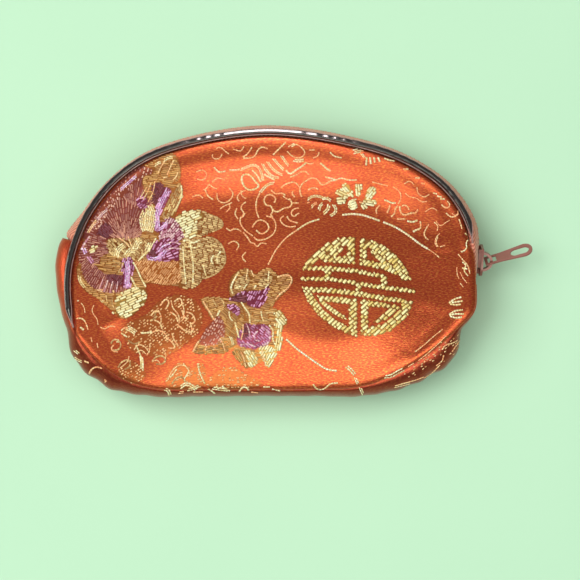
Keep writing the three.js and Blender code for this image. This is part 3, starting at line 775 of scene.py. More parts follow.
SMALL_FIGURES = filled("""
plum blossom, upper left | pale | -50 | 342,185 346,183 351,189 354,197 349,196 344,191
plum blossom, top | pale | -85 | 356,184 361,184 361,192 358,197 356,192
plum blossom, upper right | pale | 50 | 366,194 370,187 375,187 376,193 371,198 366,200
plum blossom, right | pale | -10 | 363,200 370,199 377,202 374,206 365,204
plum blossom, lower right | pale | -50 | 361,203 365,204 368,208 363,209
plum blossom, low | pale | 20 | 348,203 352,200 357,203 357,208 351,209
plum blossom, lower left | pale | 5 | 336,199 341,197 347,199 345,203 338,204
plum blossom, left | pale | -25 | 335,192 340,189 347,193 348,198 341,196
beaded flower | fleck | 40 | 122,328 146,314 158,302 175,295 192,299 202,312 200,330 192,338 178,350 160,358
    146,354 134,352 126,342
low beads | fleck | 20 | 166,386 170,370 182,362 192,368 202,362 206,384 190,390
base beads | fleck | 0 | 206,384 216,372 232,366 246,374 262,384 240,390 216,390
right seam's beads | fleck | 38 | 404,372 420,361 436,348 448,336 453,341 441,356 424,369 408,379
right corner's beads | fleck | 38 | 440,352 450,340 460,334 462,344 454,354 444,362
corner beads | fleck | 30 | 118,372 128,360 140,366 146,376 134,384 124,382
""")
FILLS = [*ROUNDEL, *PEONY, *SECOND_FLOWER, *SMALL_FIGURES]
print(len(FILLS), "filled figures")

# %% Chart of lines
# A row is a thread, a width in mm and runs in pixels of the photograph, parted by strokes.
Lines = namedtuple("Lines", "thread wide runs")


def lined(text):
    return [Lines(thread, float(wide), runs.split("/")) for thread, wide, runs in chart_rows(text)]


RING_LINES = lined("""
peach | 0.55 | 268,265 276,250 286,238 297,230
pale | 0.6 | 297,230 308,223 320,219
cream | 0.74 | 342,215 352,214 362,215 372,218 380,221 / 383,222 395,227 408,235 420,244 428,249 / 286,339
    297,349 308,357 318,364 326,369 337,371
peach | 0.4 | 428,249 434,253 440,258
""")
PEONY_LINES = lined("""
pale | 1.6 | 150,205 153,214 153,224 150,232 / 145,211 142,218 143,226 145,231 / 148,208 148,216 147,225
    148,231 / 116,257 118,250 124,245 / 126,256 131,250 136,251 / 135,249 138,242 142,240 / 147,251 151,243
lilac | 1.4 | 168,190 163,199 159,208 157,218 158,229 / 126,260 128,268 127,277 128,288
lilac | 0.9 | 158,230 163,227 167,222
pale | 0.9 | 154,166 158,163 161,162 / 163,161 168,158 173,157 / 79,275 80,281 85,288
peach | 0.45 | 165,161 161,167 158,173 / 174,160 170,168 167,175 / 119,238 126,243 130,248 / 128,236 130,242
    132,247
peach | 0.55 | 178,172 176,177 173,180
peach | 0.5 | 163,178 167,177
lilac | 0.9 | 120,190 127,184 136,176 / 156,256 160,258
rose | 0.8 | 108,209 102,214 97,220
peach | 0.8 | 97,220 92,226 88,233 / 97,289 103,291
rose | 0.7 | 90,236 85,243 81,250
peach | 0.4 | 140,199 144,192 147,187 / 143,200 148,191 151,183 / 148,202 153,192 155,181
pale | 0.55 | 181,185 182,193 179,203 174,211
lilac | 1.1 | 148,258 155,259 162,255 166,250
lilac | 0.6 | 158,252 163,246 170,244
rose | 0.5 | 166,250 173,248 181,249 / 166,244 173,242 180,244
lilac | 1.2 | 83,247 86,254
plum | 1.2 | 88,256 93,263
rose | 0.45 | 103,279 101,285 99,290 / 108,280 106,286 104,292 / 113,281 111,287 110,293 / 118,281 117,287
    116,293
pale | 0.6 | 156,238 151,247 143,256 138,261 / 133,262 137,269 141,278 146,287 / 190,242 193,262 193,283 /
    203,265 205,272 206,276 / 188,246 194,248 200,246
tan | 0.5 | 113,260 117,263 121,262 / 112,266 117,266 122,263 / 118,273 121,268 124,262 / 208,214 221,220
    223,226 212,232 / 106,295 107,302 / 113,297 112,303 114,308
pale | 0.7 | 131,277 134,283 137,289 / 221,251 217,257 218,264 / 214,255 211,260 213,264 / 183,241 189,240
    192,243 200,240 / 112,312 114,314
pale | 0.5 | 183,246 184,265 186,284
tan | 0.6 | 211,237 220,243 225,254 225,263 217,273 204,279
pale | 0.8 | 101,300 103,302
peach | 0.7 | 113,290 114,293
""")
SECOND_FLOWER_LINES = lined("""
pale | 0.7 | 233,294 231,288 234,280 239,272 / 236,288 241,286 / 256,285 254,289 / 220,310 217,316 / 235,322
    237,330 239,338
peach | 0.5 | 248,269 247,274 246,281 / 220,338 223,344 225,351 / 241,352 244,359 246,367 / 262,350 264,359
    266,367
pale | 0.5 | 247,284 243,290 / 269,271 268,281 / 269,284 265,288 / 229,311 230,318 233,321 / 261,311 262,317
    264,322
peach | 0.45 | 251,270 254,277
peach | 0.6 | 277,277 288,275 292,279 288,288 281,293 275,300 / 203,301 207,308 211,314 214,320 / 207,346
    205,351
tan | 0.5 | 213,300 217,307
tan | 0.6 | 219,298 223,301 224,307 / 254,320 262,321 272,319 / 266,313 274,312
peach | 0.7 | 199,341 196,346 193,352
peach | 0.8 | 212,349 216,348
pale | 0.8 | 230,336 232,340 233,345
pale | 0.6 | 241,302 245,308 249,314 250,323 / 269,325 273,330 273,340 276,346
peach | 0.55 | 243,324 243,332 241,340
rose | 0.5 | 246,323 249,330 250,340 / 258,331 254,335 255,340 260,341
rose | 0.7 | 261,327 267,330 270,337 268,343 262,345
rose | 0.6 | 240,345 248,344 256,347
""")
CLOUD_LINES = lined("""
pale | 0.7 | 242,181 242,176 246,174 251,176 255,181 259,186 255,189 249,190 244,186 242,181 / 286,170
    290,174 296,170 301,167 306,163 / 264,174 269,177 275,180 / 320,163 324,166 327,169 331,171
pale | 0.8 | 240,170 247,167 254,165 259,168 262,175 263,181 / 262,163 266,170 272,176 279,178 / 267,161
    272,168 278,173 283,175 / 273,158 278,164 284,170 / 281,155 285,161 289,166
pale | 0.6 | 252,170 257,175 261,182 / 214,167 219,172 226,171 / 229,170 236,170 241,169 / 325,177 330,178
    336,180
pale | 1.0 | 293,160 299,161 304,160
peach | 0.6 | 273,155 279,149 286,142
peach | 0.4 | 288,147 294,144 301,147 305,153 300,158 292,156 287,151
pale | 0.9 | 291,146 295,144 / 275,183 269,184 264,188 260,193
peach | 0.55 | 260,193 257,199 256,206 257,213 259,218 / 268,149 262,147 258,150 255,156 251,158 243,158 /
    274,203 276,199 272,195 267,195 264,200 266,205 271,206 / 271,206 273,210 277,212 281,210 284,208
    290,207 292,203 289,198 / 281,188 284,185 289,183 294,182 298,185 300,188 300,193 302,197 / 300,188
    302,184 306,181 312,178 317,179 322,185 326,184 330,181 / 308,190 312,188 316,188 319,190 / 256,230
    261,234 266,232 269,228 266,222 259,220 255,223 252,228
peach | 0.5 | 252,147 249,152 245,156 242,157 / 205,189 208,196 214,200 / 192,197 199,195 203,198 / 271,190
    276,194 282,193 286,196 / 292,203 299,203 / 272,209 273,212 270,215 274,217 / 290,177 296,175 301,172
    305,171 309,175 / 293,191 292,194 295,197 / 299,208 294,209 291,213 294,217 297,214 300,213 / 287,216
    289,220 294,222 298,223 / 284,216 280,219 284,225 291,227 296,226 / 266,216 273,218 276,226 274,233
    268,238 262,240 257,240 253,236 / 253,236 247,232 243,228 240,222 241,216 / 243,232 248,238 251,243
    254,243 257,247 261,243 267,244 / 246,202 242,205 241,209 244,213 242,217
peach | 0.45 | 233,149 241,151 244,146 / 196,172 203,170 207,175 203,180 197,179 / 212,182 218,178 225,180 /
    309,150 315,150 / 319,152 318,156 313,158 / 237,208 235,214 238,219 / 246,190 240,193 237,198 240,202 /
    229,188 233,193 231,199 224,203 218,200 217,193 / 226,228 231,231 234,228 / 246,252 242,257 246,262 /
    228,244 234,241 239,245 236,251 / 226,212 230,208 229,203
peach | 0.4 | 213,154 212,157 215,159 220,158 222,154 / 216,149 219,147 223,149 226,152 229,154 / 203,190
    207,188 209,184 212,187 217,189 / 220,209 224,206 229,204 233,202 / 241,190 242,196 247,199 / 240,218
    243,217 245,213 / 305,162 310,164 314,163 / 283,196 287,199 291,200 / 231,230 237,229 242,232
pale | 0.5 | 330,152 334,156 342,158
pale | 0.55 | 330,181 336,180 341,178 348,180 357,180
""")
BLOSSOM_LINES = lined("""
pale | 1.5 | 353,152 357,151 361,150 / 127,328 132,330 136,333
pale | 1.2 | 346,366 351,370 355,375 / 384,377 391,376 398,372 404,369
pale | 0.8 | 307,200 311,197 316,196 321,197 325,199 / 361,153 365,158
pale | 0.9 | 322,199 327,198 331,201 / 319,211 320,206 323,203 / 333,204 336,209 335,213 330,216 / 357,200
    351,201 349,206 353,209 357,206
peach | 0.8 | 311,208 314,204 317,203
pale | 1.1 | 329,204 328,209 323,214
peach | 0.5 | 307,203 310,202 / 361,151 370,150 379,153 / 347,193 351,196 / 359,194 358,197
pale | 0.7 | 367,157 366,166 / 370,157 371,164 / 374,157 375,163 / 378,157 380,162 / 384,158 389,160 395,161
peach | 0.6 | 359,202 363,203
""")
RIGHT_LINES = lined("""
pale | 0.7 | 449,303 455,299 462,297 / 449,303 456,302 463,301 / 450,304 456,305 462,304 / 449,315 455,311
    463,310 / 449,315 456,314 464,314 / 450,316 456,318 462,317
pale | 0.6 | 384,200 388,201 391,203 396,203 / 433,193 437,194 / 437,196 442,197 / 440,199 445,199
peach | 0.55 | 380,205 376,210 377,214 / 420,221 421,225 420,229
peach | 0.6 | 390,205 389,209 387,213 / 398,206 395,209 395,213 391,217 / 403,169 409,169 / 415,178 420,178
    / 421,183 425,184
peach | 0.65 | 400,206 400,210 402,214 406,215 411,213 416,213 418,209 / 397,219 402,219 406,219
peach | 0.5 | 402,206 405,205 408,207 409,210 / 429,224 426,229 424,234 426,238 429,240 / 447,201 450,204
    448,208 444,207 441,204 / 458,208 459,213 456,216 451,217 446,213 / 459,219 461,225 462,229
pale | 0.65 | 407,221 413,222 418,220
pale | 0.7 | 420,229 416,230 413,232
peach | 0.4 | 434,222 438,226 437,231 / 438,237 436,242 438,247 / 440,247 446,245
pale | 0.55 | 465,233 469,238 466,243 467,247 464,251 460,252
peach | 0.45 | 458,254 463,260 468,266 470,274
pale | 0.5 | 462,262 466,265 464,270 468,276
peach | 0.35 | 417,187 418,193 424,197 430,194 / 404,184 410,181 414,185 / 425,212 432,208 438,211 / 393,187
    398,190 401,195 400,201 398,204 / 372,182 380,184 388,186 / 405,193 410,197 416,198 422,202 428,201 /
    436,221 438,224 441,226 445,223 450,220 / 440,233 436,238 435,243 437,247 / 452,213 455,216 458,213
    458,209 / 457,267 457,273 459,279 / 460,272 463,278 467,283 / 460,283 464,288
pale | 0.6 | 462,268 468,269
""")
LOW_LINES = lined("""
peach | 0.55 | 151,316 155,311 160,312 / 160,306 166,299 169,302 166,309 / 174,302 180,298 182,304 177,308 /
    186,312 192,314 195,322 190,324 / 177,324 184,330 192,332 194,327 / 166,338 172,342 175,348 168,348 /
    150,334 158,330 164,333 / 154,320 160,323 162,329 / 170,312 176,316 178,322 / 182,310 184,316 188,320
tan | 0.6 | 111,344 113,340 118,340 121,345 118,350 113,350 / 152,362 156,357 162,356 166,360 162,364
    156,364 / 118,368 122,362 129,360 130,366 124,370 / 172,384 176,378 182,377 186,383 / 128,340 134,344
    140,342
pale | 1.1 | 141,356 142,362 142,369 / 180,388 186,384 192,386 196,390 / 212,388 220,389 228,390
peach | 0.6 | 121,331 124,328 129,328 / 89,374 92,369 97,367 103,369
pale | 0.6 | 121,333 124,335 127,337 / 136,345 139,352 142,360 143,371 / 198,363 199,370 202,378 205,384 /
    263,387 270,387 / 272,389 281,391 / 313,384 317,389 324,389 330,384 338,383
pale | 1.0 | 116,341 119,341
peach | 0.5 | 114,345 111,348 113,351 118,352 / 150,345 149,352 146,356 / 76,319 80,318 84,320 87,326 88,330
    / 168,380 171,373 176,367 183,365 189,370 190,377 / 190,322 192,329 191,335 / 162,331 166,335 168,341 /
    172,333 174,340 178,345 / 395,386 405,383 416,380 424,377 / 442,350 446,345 453,343 458,340 / 444,355
    442,361 436,366
pale | 0.7 | 141,333 146,333 152,332 / 80,327 84,330 / 208,389 212,391 215,394 / 216,386 219,389 / 222,386
    226,389 230,391 / 239,392 242,388 246,387 249,391
tan | 0.7 | 150,321 154,319 157,316
tan | 0.6 | 155,319 155,314 157,310
pale | 0.9 | 77,300 79,300 / 187,390 192,389 199,386 / 74,350 79,354
peach | 0.35 | 81,303 84,307 85,313 / 94,305 92,310 94,315 97,319 98,325
peach | 0.45 | 100,327 105,329 110,326 116,327 / 158,310 161,316 161,322 / 171,300 173,308 178,314 180,322 /
    182,302 184,310 183,320
peach | 0.4 | 91,337 92,342 / 97,343 98,348 / 415,352 424,345 433,337 443,329 / 418,361 428,353 438,344
    446,336
pale | 0.5 | 170,378 174,373 177,369 / 184,379 187,375 189,371
peach | 0.4 | 134,350 138,345 144,346 148,351 / 136,353 141,350 146,354 / 120,368 124,365 128,361 129,356 /
    152,362 157,360 160,363 / 163,350 166,354 165,360 / 183,363 187,368 191,374
pale | 1.1 | 164,389 168,390 170,395
pale | 0.9 | 355,377 358,384 / 360,387 362,392 364,396 / 394,387 402,385 410,383
peach | 0.6 | 408,367 414,363 / 424,378 432,373 440,365 / 452,352 456,346 460,340
peach | 0.8 | 178,393 184,392
peach | 0.7 | 193,392 203,392 / 251,392 258,393 / 84,361 89,363
pale | 0.8 | 73,357 78,360 82,362
peach | 0.9 | 104,382 106,380
""")
LINES = [
    *RING_LINES, *PEONY_LINES, *SECOND_FLOWER_LINES, *CLOUD_LINES, *BLOSSOM_LINES, *RIGHT_LINES, *LOW_LINES]
print(sum(len(row.runs) for row in LINES), "lines")


# %% Outlines and the direction of their rows
def charted(pixels):
    """Pixels of the photograph, written "x,y x,y", as mm in the frame on the photograph's plane."""
    x, y = np.array([pair.split(",") for pair in pixels.split()], float).T
    return np.stack([x - PHOTO_ORIGIN[0], PHOTO_ORIGIN[1] - y], 1) / PIXELS_PER_MM


OUTLINE_STEP = 0.2  # of the way from corner to corner, so that outlines are round


def fill_outline(fill):
    corners = charted(fill.outline)
    return corners if fill in ROUNDEL else closed_spline(corners, np.arange(0, len(corners), OUTLINE_STEP))


def inside(outline, points):
    """Which points lie inside an outline."""
    hit = np.zeros(len(points), bool)
    for a, b in zip(outline, np.roll(outline, -1, axis=0)):
        if a[1] != b[1]:
            beside = points[:, 0] < a[0] + (points[:, 1] - a[1]) / (b[1] - a[1]) * (b[0] - a[0])
            hit ^= ((a[1] > points[:, 1]) != (b[1] > points[:, 1])) & beside
    return hit


def row_frame(fill, outline):
    """Two functions: from the cloth to a plane where this fill's rows are level, and back."""
    if "," in fill.turn:
        centre = charted(fill.turn)[0]
        middle = outline.mean(axis=0) - centre
        far, aim = np.linalg.norm(middle), math.atan2(middle[1], middle[0])

        def to_rows(points):
            spokes = points - centre
            angle = (np.arctan2(spokes[:, 1], spokes[:, 0]) - aim + math.pi) % (2 * math.pi) - math.pi
            return np.stack([np.linalg.norm(spokes, axis=1), angle * far], 1)

        def from_rows(rows):
            angle = rows[:, 1] / far + aim
            return centre + rows[:, :1] * np.stack([np.cos(angle), np.sin(angle)], 1)
        return to_rows, from_rows
    turn = math.radians(float(fill.turn))
    spin = np.array(((math.cos(turn), math.sin(turn)), (-math.sin(turn), math.cos(turn))))
    return (lambda points: points @ spin.T), (lambda rows: rows @ spin)


OUTLINES = [fill_outline(fill) for fill in FILLS]
print(sum(len(outline) for outline in OUTLINES), "points on the outlines")

# %% Rows of floats in a figure
SHORTEST_FLOAT = 0.35  # mm
UNEVEN = (0.6, 1.4)  # the shortest and the longest of a thread's floats, as shares of its usual one
TWILL_SHIFT, SHIFT_SPREAD = 0.37, 0.3  # how far each row starts before the last, in floats
ROW_WOBBLE = 0.15  # how far a float's end strays from its row, in pitches


def fill_floats(number, chance):
    """Rows of floats inside an outline, shifted like a twill. One row: both ends, width and height, mm."""
    fill, thread = FILLS[number], THREADS[FILLS[number].thread]
    to_rows, from_rows = row_frame(fill, OUTLINES[number])
    outline = to_rows(OUTLINES[number])
    after = np.roll(outline, -1, axis=0)
    ends = []
    levels = np.arange(outline[:, 1].min() + thread.pitch / 2, outline[:, 1].max(), thread.pitch)
    for row, level in enumerate(levels):
        cuts = (outline[:, 1] > level) != (after[:, 1] > level)
        a, b = outline[cuts], after[cuts]
        crossings = np.sort(a[:, 0] + (level - a[:, 1]) / (b[:, 1] - a[:, 1]) * (b[:, 0] - a[:, 0]))
        for start, end in zip(crossings[::2], crossings[1::2]):
            at = start - (row * TWILL_SHIFT + chance.uniform(0, SHIFT_SPREAD)) % 1 * thread.long
            while at < end:
                long = thread.long * chance.uniform(*UNEVEN)
                left, right = max(at, start), min(at + long - thread.gap, end)
                wobble = level + thread.pitch * chance.uniform(-ROW_WOBBLE, ROW_WOBBLE, 2)
                at += long
                if right - left > SHORTEST_FLOAT and chance.uniform() >= thread.skip:
                    ends.append((left, wobble[0], right, wobble[1]))
    ends = from_rows(np.array(ends).reshape(-1, 2)).reshape(-1, 4)
    middles = (ends[:, :2] + ends[:, 2:]) / 2
    covered = np.zeros(len(ends), bool)
    for over in OUTLINES[number + 1:]:
        if np.all(over.min(0) < middles.max(0)) and np.all(over.max(0) > middles.min(0)):
            covered |= inside(over, middles)
    ends = ends[~covered]
    return np.column_stack([ends, np.tile((thread.wide, thread.high), (len(ends), 1))])


# %% Floats along a line
LINE_STEP, LINE_FLOAT = 0.76, 0.8  # mm between floats of a line, and the length of each
LINE_ROW = 0.5  # mm, the width that one row of floats covers
LINE_FULL = 0.86  # a float's width as a share of its row
LINE_HIGH = 0.14
LINE_LEAST = 0.3  # mm that the last float has at least
LINE_POINTS = 60  # along a line's smooth path


def line_floats(run, wide):
    """Overlapping floats along a line, in as many rows as its width needs, so that it reads as a cord."""
    knots = charted(run)
    ends = np.vstack([2 * knots[0] - knots[1], knots, 2 * knots[-1] - knots[-2]])
    path = closed_spline(ends, np.linspace(1, len(knots), LINE_POINTS))
    travelled = np.r_[0, np.cumsum(np.linalg.norm(np.diff(path, axis=0), axis=1))]
    rows = max(1, round(wide / LINE_ROW))
    floats = []
    for row in range(rows):
        aside = (row - (rows - 1) / 2) * wide / rows
        last = travelled[-1] - LINE_LEAST
        starts = np.arange(0, last, LINE_STEP) + (row % 2) * LINE_STEP / 2
        for start in starts[starts < last]:
            at = np.array((start, min(start + LINE_FLOAT, travelled[-1])))
            points = np.column_stack([np.interp(at, travelled, path[:, i]) for i in (0, 1)])
            along = points[1] - points[0]
            points += aside * np.array((-along[1], along[0])) / (np.linalg.norm(along) + 1e-9)
            floats.append((*points.ravel(), LINE_FULL * wide / rows, LINE_HIGH))
    return np.array(floats).reshape(-1, 6)


# %% Dropping floats on the cloth
def cloth_tree(*pieces):
    """The pieces' faces in mm, for finding where a ray meets the cloth."""
    corners, faces = [], []
    for made in pieces:
        start = len(corners)
        corners += [vert.co / MM for vert in made.data.vertices]
        faces += [[start + i for i in face.vertices] for face in made.data.polygons]
    return BVHTree.FromPolygons(corners, faces)


def from_camera(tree, point):
    target = Vector((point[0], point[1], PHOTO_PLANE))
    return tree.ray_cast(EYE, (target - EYE).normalized())


BACK_FIGURES = (-2, -1)  # where the middle of the mirrored figures lies on the back, mm
BELOW = -50


def from_below(tree, point):
    start = Vector((BACK_FIGURES[0] - point[0], BACK_FIGURES[1] + point[1], BELOW))
    return tree.ray_cast(start, Vector((0, 0, 1)))


front_tree = cloth_tree(front_brocade, gusset_brocade)
back_tree = cloth_tree(back_brocade)
print("the cloth under the origin lies at", round(from_camera(front_tree, (0, 0))[0].z, 1), "mm")

# %% Shape of a float
# place along the float, share of its width, share of its height
FLOAT_RINGS = ((0.1, 0.92, 0.8), (0.5, 1.0, 1.0), (0.9, 0.92, 0.8))
FLOAT_PLACES = (0, *(ring[0] for ring in FLOAT_RINGS), 1)
FLOAT_CORNERS = 14
FLOAT_FACES = (
    [(0, 1 + k, 1 + (k + 1) % 4) for k in range(4)]
    + [(1 + 4 * r + k, 5 + 4 * r + k, 5 + 4 * r + (k + 1) % 4, 1 + 4 * r + (k + 1) % 4)
       for r in (0, 1) for k in range(4)]
    + [(13, 9 + (k + 1) % 4, 9 + k) for k in range(4)])
SUNK = 0.05  # how far a float's ends and underside go into the cloth, mm


def float_corners(tree, ray, row):
    """The 14 corners of one float on the cloth, or nothing where it misses."""
    start, end, (wide, high) = row[:2], row[2:4], row[4:]
    hits = [ray(tree, start + (end - start) * share) for share in FLOAT_PLACES]
    if any(hit[0] is None for hit in hits):
        return None
    axis = (hits[4][0] - hits[0][0]).normalized()
    corners = [hits[0][0] - hits[0][1] * SUNK]
    for (_, width, height), (spot, normal, *_) in zip(FLOAT_RINGS, hits[1:4]):
        side = normal.cross(axis).normalized() * (wide / 2 * width)
        up = normal * (high * height)
        corners += [spot - side, spot + up, spot + side, spot - normal * SUNK]
    return [*corners, hits[4][0] - hits[4][1] * SUNK]


def float_mesh(name, material, tree, ray, floats, chance):
    """All floats of one thread as one mesh, each with its own shade between dark and light."""
    made = [corners for corners in (float_corners(tree, ray, row) for row in floats) if corners]
    points = [corner * MM for corners in made for corner in corners]
    faces = [[FLOAT_CORNERS * number + i for i in face]
             for number in range(len(made)) for face in FLOAT_FACES]
    mesh = bpy.data.meshes.new(name)
    mesh.from_pydata(points, [], faces)
    mesh.polygons.foreach_set("use_smooth", [True] * len(faces))
    shade = mesh.attributes.new("shade", "FLOAT", "POINT")
    shade.data.foreach_set("value", np.repeat(chance.uniform(0, 1, len(made)), FLOAT_CORNERS))
    mesh.materials.append(material)
    laid = bpy.data.objects.new(name, mesh)
    scene.collection.objects.link(laid)
    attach(laid, "purse")
    print(name, len(made), "floats")


# %% Thread materials and meshes
for key, thread in THREADS.items():
    chance = np.random.default_rng(sum(key.encode()))
    weft, tree, shader = new_material(thread.material, Metallic=thread.metallic, Roughness=0.36)
    shade = add(tree, "Attribute", attribute_name="shade")
    tone = add(tree, "ValToRGB", {"Fac": shade.outputs["Fac"]})
    for element, colour in zip(tone.color_ramp.elements, (thread.dark, thread.light)):
        element.color = linear(colour)
    tree.links.new(tone.outputs["Color"], shader.inputs["Base Color"])
    floats = [fill_floats(number, chance) for number, fill in enumerate(FILLS) if fill.thread == key]
    floats += [line_floats(run, row.wide) for row in LINES if row.thread == key for run in row.runs]
    floats = np.concatenate(floats)
    float_mesh(key + "_threads_front", weft, front_tree, from_camera, floats, chance)
    float_mesh(key + "_threads_back", weft, back_tree, from_below, floats, chance)


# %% Tint of the cloth under the figures, and painted shade on the gusset
# On the gusset the tint is painted shade: its red deepens towards the base, where the gusset lies in shadow.
GUSSET_TAB = np.array(linear("C8452E")[:3])
GUSSET_BASE_PAINTED_SHADE = np.array(linear("7E2A20")[:3])
GUSSET_COVER = 0.7
GUSSET_FADE = (-12, -20)  # mm in y from the one red to the other


def seen_from_camera(points):
    eye = np.array(EYE)
    share = (eye[2] - PHOTO_PLANE) / (eye[2] - points[:, 2])
    return eye[:2] + (points[:, :2] - eye[:2]) * share[:, None]


def seen_from_below(points):
    return np.column_stack([BACK_FIGURES[0] - points[:, 0], points[:, 1] - BACK_FIGURES[1]])


def figure_tint(spots):
    """The under-colour and cover of the topmost figure at each spot."""
    tint = np.zeros((len(spots), 4))
    for fill, outline in zip(FILLS, OUTLINES):
        thread = THREADS[fill.thread]
        tint[inside(outline, spots)] = (*linear(thread.under)[:3], thread.cover)
    return tint


def gusset_painted_shade(points):
    """Brighter red at the tab, and a deeper red along the base that is painted shade."""
    low = smooth((GUSSET_FADE[0] - points[:, 1]) / (GUSSET_FADE[0] - GUSSET_FADE[1]))[:, None]
    return np.column_stack([GUSSET_TAB * (1 - low) + GUSSET_BASE_PAINTED_SHADE * low, np.full(len(low), GUSSET_COVER)])


# The gusset's tint is painted shade along its base.
for made, tint_of in (
        (front_brocade, lambda points: figure_tint(seen_from_camera(points))),
        (back_brocade, lambda points: figure_tint(seen_from_below(points))),
        (gusset_brocade, gusset_painted_shade)):
    points = np.array([vert.co for vert in made.data.vertices]) / MM
    layer = made.data.color_attributes.new("figure_tint", "FLOAT_COLOR", "POINT")
    tint = tint_of(points)
    layer.data.foreach_set("color", tint.ravel())
    print(made.name, "tinted on", np.count_nonzero(tint[:, 3]), "of", len(tint), "points")

# %% [markdown]
# ## Zip tapes and coil
# A coil zip is two woven tapes, each with a nylon spiral sewn to its edge, whose turns lock into each
# other. The closed pair looks like a flat rope. Each spiral is one bevelled curve turned to a mesh.

# %% Woven tape
TAPE_RIB = 0.778  # mm between ribs, coarser than real so that they show
SLANTING_BANDS = 10 * math.sqrt(2) / (2 * math.pi)  # in one unit of a wave texture of scale 1

# Woven polyester: matt, with slanting ribs and a faint bloom of loose fibres.
woven_tape, tree, shader = new_material(
    "woven salmon polyester tape", Roughness=0.7, Sheen_Weight=0.3, Sheen_Roughness=0.5)
uv = add(tree, "UVMap", uv_map="UVMap")
ribs = add(tree, "TexWave", {
    "Vector": uv.outputs["UV"], "Scale": 1 / (TAPE_RIB * SLANTING_BANDS), "Distortion": 1.2, "Detail": 1},
    bands_direction="DIAGONAL")
tone = add(tree, "ValToRGB", {"Fac": ribs.outputs["Fac"]})
for element, colour in zip(tone.color_ramp.elements, ("B4533C", "EC9A7C")):
    element.color = linear(colour)
relief = add(tree, "Bump", {"Height": ribs.outputs["Fac"], "Strength": 0.5, "Distance": 0.1 * MM})
tree.links.new(tone.outputs["Color"], shader.inputs["Base Color"])
tree.links.new(relief.outputs["Normal"], shader.inputs["Normal"])

# %% Tapes
ZIP_FROM, ZIP_TO = -0.15, 9.86
ZIP_SINK = 0.8
ZIP_TUCK_DEPTH, ZIP_TUCK_LENGTH = 2.9, 3.5
COIL_ACROSS, COIL_OUT = 1.2, 0.8
TAPE_WALL = 0.6
TAPE_BULGE = 0.5  # how far a tape stands out between coil and seam
TAPE_SHOULDER = 0.3  # share of the way to the seam over which it rises from the coil
TAPE_UNDER = 0.5  # how far it reaches under the coil
TAPE_LYING = 0.9  # beyond this share of its width it turns into the seam
TAPE_TURN_IN = 1.2
TAPE_ROWS = 12
ZIP_SPACING = 0.8
zip_steps, zip_travelled, zip_total = even_steps(ZIP_FROM, ZIP_TO, ZIP_SPACING)


def zip_tuck(travelled):
    return ZIP_TUCK_DEPTH * (1 - taper(travelled, zip_total, ZIP_TUCK_LENGTH))


def tape_points(side):
    def places(u, v):
        travelled = u * zip_total
        steps = np.interp(travelled, zip_travelled, zip_steps)
        middle = gusset_size(steps)[1]
        end = (FRONT_SEAM_Z if side > 0 else BACK_SEAM_Z) - side * (SEAM_ROOM + piping_radius(steps))
        nearest = (COIL_ACROSS - TAPE_UNDER) / np.abs(end - middle)
        share = v if side > 0 else 1 - v
        across = side * (nearest + (1 - nearest) * np.minimum(share / TAPE_LYING, 1))
        turned = np.maximum(share - TAPE_LYING, 0) / (1 - TAPE_LYING)
        sink = ZIP_SINK - TAPE_BULGE * smooth((np.abs(across) - nearest) / TAPE_SHOULDER)
        flat, z = gusset_points(steps, across, sink)
        flat = flat - outward(steps) * (zip_tuck(travelled) + TAPE_TURN_IN * turned)[:, None]
        return stacked(flat, z), np.column_stack([travelled, across * HALF_WIDTH])
    return places


for name, side in (("tape_front", 1), ("tape_back", -1)):
    bm = grid(len(zip_steps) - 1, TAPE_ROWS)
    shape(bm, tape_points(side))
    thicken(finish_piece(name, bm, woven_tape, replaces=["zip_" + name]), TAPE_WALL)

# %% Coil
COIL_PITCH = 1.25
COIL_WIRE = 0.34
STEPS_PER_TURN = 9
COIL_APART = 0.42  # from the middle line to each spiral's axis
COIL_FROM = 0.78  # rim steps: the coil comes out of the slider there
coil_start = np.interp(COIL_FROM, zip_steps, zip_travelled)

# Drawn nylon: half glossy, so each turn has its own small gleam.
nylon_coil, *_ = mottled(
    "salmon nylon coil", 1.1111, 1, "C46A4E", "EFA284", Roughness=0.38, Specular_IOR_Level=0.6)


def coil_half(side):
    """The middle line of one spiral, side 1 on the front tape and -1 on the back one."""
    turns = (zip_total - coil_start) / COIL_PITCH
    phase = np.linspace(0, 2 * math.pi * turns, int(turns * STEPS_PER_TURN))
    travelled = coil_start + phase / (2 * math.pi) * COIL_PITCH
    steps = np.interp(travelled, zip_travelled, zip_steps)
    swell, middle = gusset_size(steps)
    phase = phase + (math.pi if side < 0 else 0)
    tuck = ZIP_TUCK_DEPTH * (1 - smooth((zip_total - travelled) / ZIP_TUCK_LENGTH))
    reach = swell - ZIP_SINK - tuck + (COIL_OUT - COIL_WIRE) * np.cos(phase)
    z = middle + side * COIL_APART + (COIL_ACROSS - COIL_APART - COIL_WIRE) * np.sin(side * phase)
    return stacked(seam(steps) + outward(steps) * reach[:, None], z)


print("each spiral has", round((zip_total - coil_start) / COIL_PITCH), "turns")


# %% Wires along the spirals
def wire_mesh(lines, radius):
    """Round wires along lines of points in mm, as one bmesh in mm."""
    wires = bpy.data.curves.new("wires", "CURVE")
    wires.dimensions = "3D"
    wires.bevel_depth = radius
    wires.bevel_resolution = 1
    wires.use_fill_caps = True
    for line in lines:
        spline = wires.splines.new("POLY")
        spline.points.add(len(line) - 1)
        spline.points.foreach_set("co", np.column_stack([line, np.ones(len(line))]).ravel())
    holder = bpy.data.objects.new("wires", wires)
    scene.collection.objects.link(holder)
    mesh = bpy.data.meshes.new_from_object(holder.evaluated_get(bpy.context.evaluated_depsgraph_get()))
    bpy.data.objects.remove(holder)
    bm = bmesh.new()
    bm.from_mesh(mesh)
    return bm


finish_piece("coil", wire_mesh([coil_half(1), coil_half(-1)], COIL_WIRE), nylon_coil,
             replaces=["zip_coil"])

